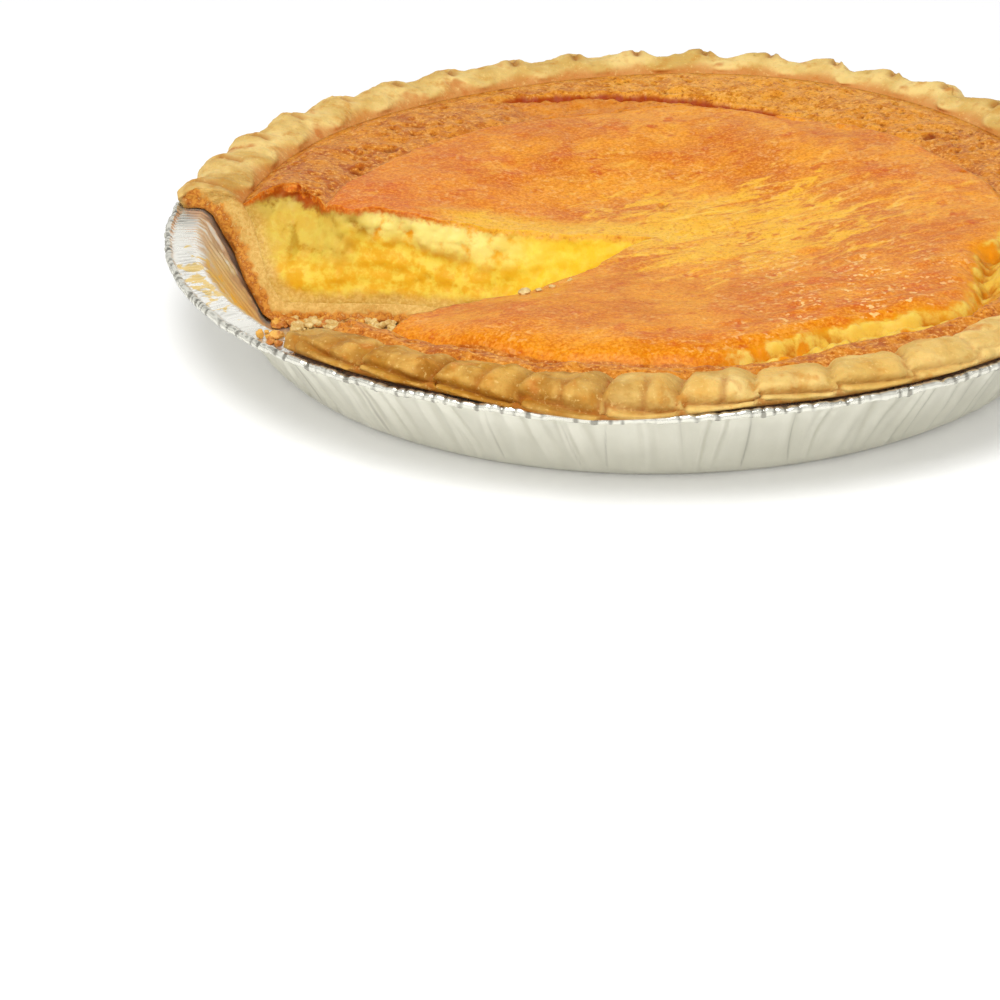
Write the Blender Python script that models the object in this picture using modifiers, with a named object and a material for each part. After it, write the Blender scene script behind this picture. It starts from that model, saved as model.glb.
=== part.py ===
"""A lemon cream pie in its foil tin, with one wedge cut out of it.

Metres, +Z up. The origin is the centre of the tin's base, on the surface it stands on.
The eater sits at -Y, and angles run anticlockwise from +X.
"""

import math

import bmesh
import bpy
from mathutils import Vector, noise

MM = 0.001

# Tin: thin foil, a sloping pleated wall and a flat flange with a rolled lip.
TIN_LIP_RADIUS = 122.0 * MM
TIN_BASE_RADIUS = 98.3 * MM
TIN_WALL_TOP_RADIUS = 113.2 * MM
TIN_HEIGHT = 26.2 * MM
TIN_LIP_DEPTH = 2.0 * MM
TIN_FOIL = 0.5 * MM
TIN_PLEATS = 60
TIN_PLEAT_DEPTH = 0.55 * MM
TIN_CORNER = 1.2 * MM
TIN_SEGMENTS = 2 * TIN_PLEATS

# Pastry: a shell that lines the tin and a fluted rim that sits on the flange.
GAP = 0.3 * MM
CRUST_SEAT_GAP = 1.0 * MM
CRUST_FLOOR = 4.1 * MM
CRUST_FLOOR_RADIUS = 92.0 * MM
CRUST_WALL_FOOT_RADIUS = 94.0 * MM
CRUST_BASE_RADIUS = 95.8 * MM
CRUST_WALL_HEIGHTS = (24.4 * MM, 12.0 * MM, 2.2 * MM)
CRUST_JOIN_RADIUS = 105.4 * MM
CRUST_JOIN_HEIGHT = 26.8 * MM
CRUST_CREST_RADIUS = 115.4 * MM
CRUST_CREST_HEIGHT = 30.8 * MM
CRUST_OUTER_RADIUS = 120.3 * MM
FLUTES = 40
FLUTE_START = math.radians(2.0)
FLUTE_DENT = 1.4 * MM
FLUTE_LOBE = 1.2 * MM
FLUTE_NOTCH = 1.9 * MM
FLUTE_WAVE = 0.55 * MM
CRUST_UNEVENNESS = 0.5 * MM
CRUST_SEGMENTS = 5 * FLUTES

# The join of pastry and filling moves out and up at the back and in at the left.
BACK_ANGLE = 70.0
BACK_SPREAD = 56.0
BACK_PUSH = 3.6 * MM
BACK_LIFT = 1.1 * MM
LEFT_ANGLE = 166.0
LEFT_SPREAD = 30.0
LEFT_PULL = 1.6 * MM

# Filling: a sunken middle, a raised dome with a rounded edge, a moat and a puffed outer band.
DOME_CENTRE_HEIGHT = 21.5 * MM
DOME_RIM_HEIGHT = 27.8 * MM
DOME_HOLLOW_RADIUS = 36.0 * MM
DOME_EDGE_RADIUS = 85.5 * MM
DOME_SHIFT = 6.5 * MM
DOME_SHIFT_ANGLE = math.radians(-62.0)
DOME_WANDER = 3.0 * MM
TOP_UNEVENNESS = 0.7 * MM
TOP_UNEVENNESS_SIZE = 22.0 * MM
BROKEN_ANGLE = 300.0
BROKEN_SPREAD = 34.0
BROKEN_RETREAT = 5.0 * MM
BROKEN_DEPTH = 1.6 * MM
MOAT_HEIGHT = 24.3 * MM
MOAT_WIDTH = 3.0 * MM
BAND_HEIGHT = 27.6 * MM
CRACK_DEPTH = 1.6 * MM
CRACK_OFFSET = 8.0 * MM
CRACK_HALF_WIDTH = 2.5 * MM
CRACK_ANGLE = 92.0
CRACK_SPREAD = 40.0
PUFF_HEIGHT = 1.4 * MM
PUFF_RADIUS = 96.0 * MM
PUFF_ANGLE = 170.0
PUFF_SPREAD = 16.0
SLUMP_DEPTH = 2.6 * MM
SLUMP_REACH = 28.0 * MM
SLUMP_SPREAD = 40.0
SLUMP_RETREAT = 5.5 * MM
FILLING_SEGMENTS = CRUST_SEGMENTS // 2

# Missing wedge: the far cut leans out at its foot, the near cut is upright.
WEDGE_APEX = Vector((0.0, -2.0 * MM, 0.0))
FAR_CUT_ANGLE = math.radians(177.0)
NEAR_CUT_ANGLE = math.radians(224.5)
TIP_LEAN = 0.66
FACE_LEAN = 0.42
CRUST_END_LEAN = 0.4
CRUST_END_PIVOT = 9.0 * MM
CRUST_END_RISE = 6.0 * MM
WEDGE_LENGTH = 135.0 * MM
WEDGE_TOP = 45.0 * MM
WEDGE_BOTTOM = -3.0 * MM
WEDGE_VALLEY_WIDTH = 1.0 * MM
BITE_DEPTH = 13.0 * MM
BITE_FROM = 77.0 * MM
BITE_TO = 107.0 * MM
CRAG_DEPTH = 1.1 * MM
CRAG_SIZE = 9.0 * MM

MERGE_DISTANCE = 0.01 * MM
SHARP_ANGLE = math.radians(40.0)
PIE_COLLECTION = "lemon_cream_pie"
CUTTER_COLLECTION = "cutters"


def blend(value, start, end):
    """Rise smoothly from 0 at start to 1 at end."""
    step = min(max((value - start) / (end - start), 0.0), 1.0)
    return step * step * (3.0 - 2.0 * step)


def bump(value, centre, half_width):
    """A smooth hump of height 1 that ends at half_width on both sides."""
    return blend(half_width - abs(value - centre), 0.0, half_width)


def angle_bump(angle, centre_degrees, half_width_degrees):
    """The same hump round the circle."""
    turn = math.degrees(angle) - centre_degrees
    turn = (turn + 180.0) % 360.0 - 180.0
    return bump(turn, 0.0, half_width_degrees)


def clear_scene():
    for old in list(bpy.data.objects):
        bpy.data.objects.remove(old, do_unlink=True)


def new_collection(name):
    collection = bpy.data.collections.new(name)
    bpy.context.scene.collection.children.link(collection)
    return collection


def plain_material(name, colour, roughness, metallic=0.0):
    material = bpy.data.materials.new(name)
    material.use_nodes = True
    shader = material.node_tree.nodes["Principled BSDF"]
    shader.inputs["Base Color"].default_value = (*colour, 1.0)
    shader.inputs["Roughness"].default_value = roughness
    shader.inputs["Metallic"].default_value = metallic
    return material


def turned(name, profile, segments, relief, collection, material):
    """Turn a profile of (radius, height) points about +Z and shift each point by its relief."""
    outline = bpy.data.meshes.new(name + "_profile")
    points = [(radius, 0.0, height) for radius, height in profile]
    outline.from_pydata(points, [(i, i + 1) for i in range(len(points) - 1)], [])
    blank = bpy.data.objects.new(name + "_profile", outline)
    collection.objects.link(blank)
    screw = blank.modifiers.new("turn", "SCREW")
    screw.steps = segments
    screw.render_steps = segments
    screw.use_merge_vertices = True
    screw.merge_threshold = MERGE_DISTANCE
    graph = bpy.context.evaluated_depsgraph_get()
    mesh = bpy.data.meshes.new_from_object(blank.evaluated_get(graph))
    bpy.data.objects.remove(blank, do_unlink=True)

    for vertex in mesh.vertices:
        x, y, height = vertex.co
        radius = math.hypot(x, y)
        angle = math.atan2(y, x)
        radius, height = relief(radius, angle, height)
        vertex.co = (radius * math.cos(angle), radius * math.sin(angle), height)
    mesh.shade_smooth()
    mesh.set_sharp_from_angle(angle=SHARP_ANGLE)
    mesh.materials.append(material)
    mesh.name = name
    piece = bpy.data.objects.new(name, mesh)
    collection.objects.link(piece)
    return piece


# --- Tin -------------------------------------------------------------------------------------


def tin_wall_radius(height):
    """Inner radius of the sloping wall."""
    share = height / (TIN_HEIGHT - TIN_FOIL)
    return TIN_BASE_RADIUS - TIN_FOIL + (TIN_WALL_TOP_RADIUS - TIN_BASE_RADIUS + TIN_FOIL) * share


def tin_profile():
    flange = TIN_HEIGHT - TIN_FOIL
    corner = TIN_CORNER
    lip = TIN_LIP_RADIUS
    return [
        (0.0, TIN_FOIL),
        (tin_wall_radius(0.0) - corner, TIN_FOIL),
        (tin_wall_radius(corner + TIN_FOIL), corner + TIN_FOIL),
        (tin_wall_radius(0.5 * flange), 0.5 * flange),
        (tin_wall_radius(flange - corner), flange - corner),
        (TIN_WALL_TOP_RADIUS + corner, flange - 0.1 * MM),
        (lip - 1.8 * MM, flange + 0.1 * MM),
        (lip - 0.7 * MM, TIN_HEIGHT),
        (lip, TIN_HEIGHT - 0.5 * TIN_LIP_DEPTH),
        (lip - 0.7 * MM, TIN_HEIGHT - TIN_LIP_DEPTH),
        (lip - 1.8 * MM, flange - TIN_FOIL + 0.1 * MM),
        (TIN_WALL_TOP_RADIUS + corner, flange - TIN_FOIL - 0.1 * MM),
        (tin_wall_radius(flange - 1.4 * corner) + TIN_FOIL, flange - 1.4 * corner),
        (tin_wall_radius(0.45 * flange) + TIN_FOIL, 0.45 * flange),
        (tin_wall_radius(corner) + TIN_FOIL, corner),
        (TIN_BASE_RADIUS - 1.4 * corner, 0.0),
        (0.0, 0.0),
    ]


def tin_relief(radius, angle, height):
    """Pleats in the wall, which fade out at the base and at the flange."""
    on_wall = blend(height, 0.3 * MM, 5.0 * MM) * blend(height, 24.0 * MM, 17.0 * MM)
    side = math.cos(TIN_PLEATS * angle)
    return radius + TIN_PLEAT_DEPTH * on_wall * side, height


# --- Crust -----------------------------------------------------------------------------------


def join_shift(angle, height):
    """How far the pastry's inner wall and the filling's edge move out and up, by angle."""
    high = blend(height, 12.0 * MM, CRUST_JOIN_HEIGHT)
    back = angle_bump(angle, BACK_ANGLE, BACK_SPREAD)
    left = angle_bump(angle, LEFT_ANGLE, LEFT_SPREAD)
    return high * (BACK_PUSH * back - LEFT_PULL * left), high * BACK_LIFT * back


def crust_profile():
    seat = TIN_HEIGHT + GAP
    foot = TIN_FOIL + GAP
    floor = foot + CRUST_FLOOR
    half = 0.5 * (floor + CRUST_JOIN_HEIGHT)
    outer_wall = [(tin_wall_radius(z) - CRUST_SEAT_GAP, z) for z in CRUST_WALL_HEIGHTS]
    return [
        (0.0, floor),
        (CRUST_FLOOR_RADIUS, floor),
        (CRUST_WALL_FOOT_RADIUS + 0.6 * MM, floor + 1.1 * MM),
        (0.5 * (CRUST_WALL_FOOT_RADIUS + CRUST_JOIN_RADIUS), half),
        (CRUST_JOIN_RADIUS, CRUST_JOIN_HEIGHT),
        (CRUST_JOIN_RADIUS + 2.4 * MM, CRUST_JOIN_HEIGHT + 2.4 * MM),
        (CRUST_CREST_RADIUS - 3.4 * MM, CRUST_CREST_HEIGHT - 0.5 * MM),
        (CRUST_CREST_RADIUS, CRUST_CREST_HEIGHT),
        (CRUST_CREST_RADIUS + 2.8 * MM, CRUST_CREST_HEIGHT - 1.8 * MM),
        (CRUST_OUTER_RADIUS, 28.0 * MM),
        (CRUST_OUTER_RADIUS - 1.3 * MM, seat + 0.1 * MM),
        (TIN_WALL_TOP_RADIUS + 0.6 * MM, seat),
        *outer_wall,
        (CRUST_BASE_RADIUS, foot),
        (0.0, foot),
    ]


def crust_relief(radius, angle, height):
    """Finger flutes: dents inside, lobes outside and a notched crest towards the eater."""
    phase = FLUTES * (angle - FLUTE_START)
    dip = math.cos(phase)
    notch = (0.5 + 0.5 * dip) ** 2.5
    front = blend(-math.sin(angle), -0.35, 0.45)
    rise = blend(height, CRUST_JOIN_HEIGHT - 0.5 * MM, CRUST_CREST_HEIGHT - 1.0 * MM)
    outside = blend(radius, CRUST_CREST_RADIUS - 1.0 * MM, CRUST_OUTER_RADIUS - 1.0 * MM)
    above_seat = blend(height, TIN_HEIGHT + 0.5 * MM, TIN_HEIGHT + 2.5 * MM)
    inside = rise * (1.0 - outside)
    outward = outside * above_seat

    inner_wall = blend(tin_wall_radius(height) - radius, 1.5 * MM, 3.0 * MM)
    on_join = max(inner_wall, blend(CRUST_CREST_RADIUS - radius, 1.0 * MM, 6.0 * MM) * rise)
    push, lift = join_shift(angle, min(height, CRUST_JOIN_HEIGHT))
    radius += push * on_join
    height += lift * on_join * (1.0 - 0.6 * rise)

    radius += FLUTE_DENT * inside * dip
    radius += FLUTE_LOBE * outward * math.cos(phase - math.pi * front)
    height += FLUTE_WAVE * max(inside, outward) * (1.0 - front) * dip
    height += FLUTE_NOTCH * inside * front * (0.35 - notch)
    spread = Vector((math.cos(angle), math.sin(angle), 0.3))
    height += CRUST_UNEVENNESS * rise * noise.noise(spread * 9.0)
    return radius, height


# --- Filling ---------------------------------------------------------------------------------


def dome_edge(angle):
    """Radius of the dome's edge, which lies off centre and wanders."""
    wander = noise.noise(Vector((2.4 * math.cos(angle), 2.4 * math.sin(angle), 4.0)))
    off_centre = DOME_SHIFT * math.cos(angle - DOME_SHIFT_ANGLE)
    bitten = BROKEN_RETREAT * angle_bump(angle, BROKEN_ANGLE, BROKEN_SPREAD)
    return DOME_EDGE_RADIUS + off_centre + DOME_WANDER * wander - bitten


def filling_profile():
    """Rings from the middle to the edge, then down the wall to the middle of the foot."""
    edge = DOME_EDGE_RADIUS
    wall_gap = 1.1 * GAP
    floor = TIN_FOIL + GAP + CRUST_FLOOR + GAP
    hollow = DOME_HOLLOW_RADIUS
    half = 0.5 * (floor + CRUST_JOIN_HEIGHT)
    half_radius = 0.5 * (CRUST_WALL_FOOT_RADIUS + CRUST_JOIN_RADIUS)
    rings = [(share * hollow, DOME_CENTRE_HEIGHT) for share in (0.0, 0.4, 0.75, 1.0)]
    climb = edge - 8.0 * MM - hollow
    for share in (0.3, 0.6, 0.8, 1.0):
        lift = (DOME_RIM_HEIGHT - DOME_CENTRE_HEIGHT) * math.sin(0.5 * math.pi * share)
        rings.append((hollow + climb * share, DOME_CENTRE_HEIGHT + lift))
    rings += [
        (edge - 3.0 * MM, DOME_RIM_HEIGHT - 0.2 * MM),
        (edge, DOME_RIM_HEIGHT - 1.6 * MM),
        (edge + 0.5 * MOAT_WIDTH, MOAT_HEIGHT),
        (edge + 1.3 * MOAT_WIDTH, MOAT_HEIGHT + 1.2 * MM),
        (edge + CRACK_OFFSET, BAND_HEIGHT - 1.6 * MM),
        (edge + 11.0 * MM, BAND_HEIGHT - 0.4 * MM),
        (edge + 14.5 * MM, BAND_HEIGHT),
        (CRUST_JOIN_RADIUS - 2.5 * MM, BAND_HEIGHT - 0.5 * MM),
        (CRUST_JOIN_RADIUS - wall_gap, CRUST_JOIN_HEIGHT - 0.2 * MM),
        (half_radius - wall_gap, half),
        (CRUST_WALL_FOOT_RADIUS + 0.4 * MM - wall_gap, floor + 1.1 * MM),
        (CRUST_FLOOR_RADIUS - 0.1 * MM, floor),
        (0.0, floor),
    ]
    return rings


def filling_relief(radius, angle, height):
    """Stretch the rings to the dome's wandering edge and roughen the top."""
    shift, lift = join_shift(angle, min(height, CRUST_JOIN_HEIGHT))
    on_top = blend(height, 18.0 * MM, 21.0 * MM)
    at_wall = blend(radius, CRUST_JOIN_RADIUS - 14.0 * MM, CRUST_JOIN_RADIUS - 3.0 * MM)
    at_wall = max(at_wall, 1.0 - on_top)
    edge_move = dome_edge(angle) - DOME_EDGE_RADIUS
    share = radius / DOME_EDGE_RADIUS
    if share > 1.0:
        share = blend(radius, CRUST_JOIN_RADIUS - 1.0 * MM, DOME_EDGE_RADIUS)
    place = Vector((radius * math.cos(angle), radius * math.sin(angle), 0.0))
    bare = on_top * (1.0 - blend(radius, CRUST_JOIN_RADIUS - 6.0 * MM, CRUST_JOIN_RADIUS))
    height += TOP_UNEVENNESS * bare * noise.noise(place / TOP_UNEVENNESS_SIZE)
    broken = angle_bump(angle, BROKEN_ANGLE, BROKEN_SPREAD)
    height -= BROKEN_DEPTH * on_top * broken * bump(radius, DOME_EDGE_RADIUS, 7.0 * MM)
    puffed = angle_bump(angle, PUFF_ANGLE, PUFF_SPREAD)
    height += PUFF_HEIGHT * on_top * puffed * bump(radius, PUFF_RADIUS, 10.0 * MM)
    cracked = angle_bump(angle, CRACK_ANGLE, CRACK_SPREAD)
    crack_radius = DOME_EDGE_RADIUS + CRACK_OFFSET
    height -= CRACK_DEPTH * on_top * cracked * bump(radius, crack_radius, CRACK_HALF_WIDTH)
    slump = angle_bump(angle, math.degrees(NEAR_CUT_ANGLE), SLUMP_SPREAD)
    height -= SLUMP_DEPTH * on_top * slump * bump(radius, SLUMP_REACH, 20.0 * MM)
    return radius + on_top * share * edge_move + shift * at_wall, height + lift * at_wall


# --- Missing wedge ---------------------------------------------------------------------------


def across(angle):
    """Unit vector along a cut, and the one that points from the gap into the pie beside it."""
    along = Vector((math.cos(angle), math.sin(angle), 0.0))
    inward = Vector((along.y, -along.x, 0.0))
    return along, inward


def crag(along, height, side):
    spot = Vector((along / CRAG_SIZE, height / CRAG_SIZE, side))
    return CRAG_DEPTH * (noise.noise(spot) + 0.5 * noise.noise(spot * 2.3))


def far_point(reach, height):
    """The far cut: it leans into the gap at its foot and is bitten back under the band's skin."""
    along, inward = across(FAR_CUT_ANGLE)
    slope = TIP_LEAN + (FACE_LEAN - TIP_LEAN) * blend(reach, 30.0 * MM, 70.0 * MM)
    lean = slope * (DOME_CENTRE_HEIGHT - min(height, DOME_RIM_HEIGHT))
    at_crust = blend(reach, 88.0 * MM, 106.0 * MM)
    lean -= CRUST_END_LEAN * at_crust * min(height - CRUST_END_PIVOT, CRUST_END_RISE)
    lean *= blend(reach, 0.0, 4.0 * MM)
    bite = BITE_DEPTH * bump(reach, 0.5 * (BITE_FROM + BITE_TO), 0.5 * (BITE_TO - BITE_FROM))
    bite *= blend(height, 10.0 * MM, 26.0 * MM)
    rough = crag(reach, height, 0.0) * blend(reach, 2.0 * MM, 12.0 * MM)
    return WEDGE_APEX + along * reach + inward * (bite + rough - lean) + Vector((0, 0, height))


def near_point(reach, height):
    """The near cut: upright, drawn back where the soft middle slumped."""
    along, inward = across(NEAR_CUT_ANGLE)
    back = SLUMP_RETREAT * bump(reach, SLUMP_REACH, 26.0 * MM)
    back += crag(reach, height, 5.0) * blend(reach, 2.0 * MM, 12.0 * MM)
    return WEDGE_APEX + along * reach - inward * back + Vector((0, 0, height))


def valley_height(reach):
    """Lowest point of the gap, where the leaning far cut meets the near cut."""
    gap = 2.0 * reach * math.sin(0.5 * (NEAR_CUT_ANGLE - FAR_CUT_ANGLE)) - WEDGE_VALLEY_WIDTH
    closed = DOME_CENTRE_HEIGHT - 1.0 * MM - max(gap, 0.0) / TIP_LEAN
    return max(closed, WEDGE_BOTTOM)


def wedge_cutter(collection):
    """A lofted wedge: a column of points at each reach on both cuts, from the top to the valley."""
    rows = 9
    reaches = [0.0, 6.0 * MM, 14.0 * MM, 22.0 * MM, 30.0 * MM]
    stride = 4.5 * MM
    while reaches[-1] < 108.0 * MM:
        reaches.append(reaches[-1] + stride)
    reaches += [114.0 * MM, 120.0 * MM, WEDGE_LENGTH]
    points = []

    def column(reach, face):
        low = valley_height(reach)
        first = len(points)
        points.append(face(reach, WEDGE_TOP))
        skin = DOME_RIM_HEIGHT + 5.0 * MM
        for row in range(rows):
            points.append(face(reach, skin + (low - skin) * row / (rows - 1)))
        return list(range(first, len(points)))

    apex = column(0.0, far_point)
    far = [apex] + [column(reach, far_point) for reach in reaches[1:]]
    near = [apex] + [column(reach, near_point) for reach in reaches[1:]]
    faces = []

    def strip(first, second):
        """Quads between two columns, dropping the side that a shared point closes."""
        for i in range(len(first) - 1):
            corners = [first[i], first[i + 1], second[i + 1], second[i]]
            faces.append(list(dict.fromkeys(corners)))

    for i in range(len(reaches) - 1):
        strip(far[i + 1], far[i])
        strip(near[i], near[i + 1])
        strip([near[i][0], far[i][0]], [near[i + 1][0], far[i + 1][0]])
        strip([far[i][-1], near[i][-1]], [far[i + 1][-1], near[i + 1][-1]])
    strip(near[-1], far[-1])

    mesh = bpy.data.meshes.new("wedge_cutter")
    mesh.from_pydata(points, [], [face for face in faces if len(face) > 2])
    shell = bmesh.new()
    shell.from_mesh(mesh)
    bmesh.ops.recalc_face_normals(shell, faces=shell.faces)
    shell.to_mesh(mesh)
    shell.free()
    cutter = bpy.data.objects.new("wedge_cutter", mesh)
    cutter.display_type = "WIRE"
    cutter.hide_render = True
    collection.objects.link(cutter)
    return cutter


def cut_wedge(piece, cutter):
    modifier = piece.modifiers.new("missing_wedge", "BOOLEAN")
    modifier.operation = "DIFFERENCE"
    modifier.solver = "EXACT"
    modifier.object = cutter


def build():
    clear_scene()
    pie = new_collection(PIE_COLLECTION)
    cutters = new_collection(CUTTER_COLLECTION)
    foil = plain_material("foil", (0.78, 0.77, 0.74), 0.3, metallic=1.0)
    pastry = plain_material("pastry", (0.72, 0.43, 0.14), 0.6)
    custard = plain_material("custard", (0.86, 0.47, 0.08), 0.35)
    cutter = wedge_cutter(cutters)
    turned("tin", tin_profile(), TIN_SEGMENTS, tin_relief, pie, foil)
    crust = turned("crust", crust_profile(), CRUST_SEGMENTS, crust_relief, pie, pastry)
    filling = turned("filling", filling_profile(), FILLING_SEGMENTS, filling_relief, pie, custard)
    cut_wedge(crust, cutter)
    cut_wedge(filling, cutter)


build()
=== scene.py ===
"""The looks of a lemon cream pie in its foil tin, with one wedge cut out.

Lengths in this script are millimetres and angles are degrees, anticlockwise from +X, with the eater
at -Y. Meshes are scaled to metres as they are made.
"""

import math

import bmesh
import bpy
import numpy as np
from mathutils import Matrix, Vector


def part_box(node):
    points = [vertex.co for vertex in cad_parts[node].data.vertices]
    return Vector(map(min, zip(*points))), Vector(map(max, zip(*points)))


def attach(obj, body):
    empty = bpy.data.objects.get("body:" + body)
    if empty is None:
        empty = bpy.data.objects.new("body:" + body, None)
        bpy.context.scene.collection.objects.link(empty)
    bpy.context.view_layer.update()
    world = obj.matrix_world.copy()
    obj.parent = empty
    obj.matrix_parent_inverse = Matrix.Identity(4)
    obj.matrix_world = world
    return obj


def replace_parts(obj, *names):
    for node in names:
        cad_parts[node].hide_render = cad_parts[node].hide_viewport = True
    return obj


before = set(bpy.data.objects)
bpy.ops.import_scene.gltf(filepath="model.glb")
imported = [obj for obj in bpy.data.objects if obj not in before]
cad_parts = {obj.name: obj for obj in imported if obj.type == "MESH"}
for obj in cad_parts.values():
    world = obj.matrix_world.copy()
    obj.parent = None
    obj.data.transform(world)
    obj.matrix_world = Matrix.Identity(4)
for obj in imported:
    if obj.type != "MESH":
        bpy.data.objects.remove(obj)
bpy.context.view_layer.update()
MM = 0.001


# --- Sizes -----------------------------------------------------------------------------------

LIP_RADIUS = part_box("tin")[1].x / MM
TIN_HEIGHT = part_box("tin")[1].z / MM
BASE_RADIUS = 98.3
WALL_TOP_RADIUS = 113.2
FOIL = 0.35
LIP_BEAD = 0.95

JOIN_RADIUS = 105.4
JOIN_HEIGHT = 26.8
CREST_RADIUS = 115.4
CREST_HEIGHT = 30.8
OUTER_RADIUS = 120.3
CRUST_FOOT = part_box("crust")[0].z / MM
CRUST_FLOOR = CRUST_FOOT + 4.1
FLUTES = 40
FLUTE_START = 2.0

FILLING_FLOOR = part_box("filling")[0].z / MM
DOME_CENTRE = 21.5
DOME_RIM = 27.8
DOME_EDGE = 85.5
BAND_HEIGHT = 27.6

APEX = np.array([0.0, -2.0])
FAR_CUT = 177.0
NEAR_CUT = 224.5
# Reach of the bite that the far cut's top has lost.
BITE_REACH = 92.0


# --- Numbers in arrays -----------------------------------------------------------------------


def smooth(value, start, end):
    """Rise smoothly from 0 at start to 1 at end."""
    step = np.clip((value - start) / (end - start), 0.0, 1.0)
    return step * step * (3.0 - 2.0 * step)


def hump(value, centre, half_width):
    return smooth(half_width - np.abs(value - centre), 0.0, half_width)


def around(angle, centre, half_width):
    """A hump round the circle, in degrees."""
    turn = (angle - centre + 180.0) % 360.0 - 180.0
    return hump(turn, 0.0, half_width)


def mix(low, high, share):
    return low + (high - low) * share


def peak(value, width):
    """A narrow bell, 1 at 0."""
    return np.exp(-((value / width) ** 2))


def facing_eater(angle, start, end):
    """Rise from 0 at the back to 1 at the front, by the sine of the angle."""
    return smooth(-np.sin(np.radians(angle)), start, end)


def grid(*coordinates):
    """Points from coordinates that broadcast together."""
    return np.stack(np.broadcast_arrays(*coordinates), axis=-1)


_draw = np.random.default_rng(11)
SHUFFLE = _draw.permutation(256)
_steps = _draw.normal(size=(256, 3))
SLOPES = _steps / np.linalg.norm(_steps, axis=1, keepdims=True)
OFFSETS = _draw.random((256, 3))


def hashed(cell):
    """One number from 0 to 255 for each cell of a grid."""
    first = SHUFFLE[cell[..., 0] & 255]
    second = SHUFFLE[(first + cell[..., 1]) & 255]
    return SHUFFLE[(second + cell[..., 2]) & 255]


def noise(points, size, seed=0.0):
    """Smooth gradient noise from about -1 to 1, with features of about that size."""
    spots = points / size + seed * 7.31
    cell = np.floor(spots).astype(int)
    local = spots - cell
    fade = local**3 * (local * (local * 6.0 - 15.0) + 10.0)
    total = np.zeros(points.shape[:-1])
    for corner in np.ndindex(2, 2, 2):
        corner = np.array(corner)
        weight = np.prod(np.where(corner == 1, fade, 1.0 - fade), axis=-1)
        total += weight * np.sum(SLOPES[hashed(cell + corner)] * (local - corner), axis=-1)
    return 1.7 * total


def fractal(points, size, octaves=3, seed=0.0):
    """Noise with finer, weaker noise on it."""
    return sum(noise(points, size / 2.1**i, seed + i) * 0.5**i for i in range(octaves))


def cells(points, size, seed=0.0):
    """Distance to the nearest of a set of scattered spots, in units of size."""
    spots = points / size + seed * 3.17
    cell = np.floor(spots).astype(int)
    nearest = np.full(points.shape[:-1], 9.0)
    for step in np.ndindex(3, 3, 3):
        other = cell + np.array(step) - 1
        spot = other + OFFSETS[hashed(other)]
        nearest = np.minimum(nearest, np.linalg.norm(spots - spot, axis=-1))
    return nearest


def curds(points, size, seed=0.0):
    """Rounded lumps from 0 to 1 with creases between them."""
    return 1.0 - np.clip(cells(points, size, seed), 0.0, 1.0) ** 2


def spline(points, per_span):
    """A smooth curve through points, with per_span samples to each span."""
    points = np.array(points, float)
    ends = np.vstack([2 * points[0] - points[1], points, 2 * points[-1] - points[-2]])
    share = np.arange(per_span)[:, None] / per_span
    curve = []
    for a, b, c, d in zip(ends, ends[1:], ends[2:], ends[3:]):
        square, cube = share**2, share**3
        bend = (c - a) * share + (2 * a - 5 * b + 4 * c - d) * square + (3 * b - a - 3 * c + d) * cube
        curve.append(b + 0.5 * bend)
    return np.vstack(curve + [points[-1:]])


def polar(radius, angle, height):
    """Points about the axis; the middle moves over to the wedge's tip."""
    turn = np.radians(angle)
    shift = 1.0 - smooth(radius, 0.0, 40.0)
    x = radius * np.cos(turn) + shift * APEX[0]
    y = radius * np.sin(turn) + shift * APEX[1]
    return grid(x, y, height)


# --- The two cuts ----------------------------------------------------------------------------


def cut_axes(far):
    """Unit vectors along a cut, away from the wedge's tip, and square to it, into the pie."""
    heading = math.radians(FAR_CUT if far else NEAR_CUT)
    along = np.array([math.cos(heading), math.sin(heading)])
    inward = np.array([along[1], -along[0]]) if far else np.array([-along[1], along[0]])
    return along, inward


def beside_cut(points, far):
    """How far points lie along a cut's straight line, and into the pie from it."""
    along, inward = cut_axes(far)
    flat = points[..., :2] - APEX
    return flat @ along, flat @ inward


def far_setback(reach, height):
    """How far the far cut lies back from its own straight line, into the pie."""
    slope = mix(0.66, 0.42, smooth(reach, 30.0, 70.0))
    lean = slope * (DOME_CENTRE - np.minimum(height, DOME_RIM))
    lean = lean - 0.4 * smooth(reach, 88.0, 106.0) * np.minimum(height - 9.0, 6.0)
    lean = lean * smooth(reach, 0.0, 4.0)
    bite = 13.0 * hump(reach, BITE_REACH, 15.0) * smooth(height, 10.0, 26.0)
    return bite - lean


def near_setback(reach, _):
    """How far the upright near cut is drawn back, where the soft middle slumped."""
    return 4.6 * smooth(reach, 5.0, 28.0) * smooth(reach, 80.0, 52.0)


def cut_angle(radius, height, far, detail):
    """Angle at which a ring of that radius and height meets a cut, with detail(reach, height)."""
    along, inward = cut_axes(far)
    setback = far_setback if far else near_setback
    shift = (1.0 - smooth(radius, 0.0, 40.0))[..., None] * APEX - APEX
    reach = radius
    for _ in range(4):
        wanted = setback(reach, height) + detail(reach, height) - shift @ inward
        turn = np.arcsin(np.clip(wanted / np.maximum(radius, 0.01), -0.97, 0.97))
        reach = radius * np.cos(turn) + shift @ along
    return FAR_CUT + 360.0 - np.degrees(turn) if far else NEAR_CUT + np.degrees(turn)


def cut_wave(reach, height):
    """The unevenness that both cut faces have, in pastry and custard alike."""
    spots = grid(reach, height, 9.0)
    wide = 0.9 + 1.1 * hump(reach, 38.0, 30.0)
    return wide * fractal(spots, 12.0, 2, 42.0) + 0.35 * fractal(spots, 3.2, 3, 20.0)


# --- Meshes ----------------------------------------------------------------------------------

WELD_GAP = 0.002
# A cut face's rows crowd towards its upper edge by this power.
DEPTH_POWER = 1.35
# Columns in the strip beside a cut where rings are missing, so that the cut's wander stays in it.
WIDE_STRIP = 12


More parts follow.
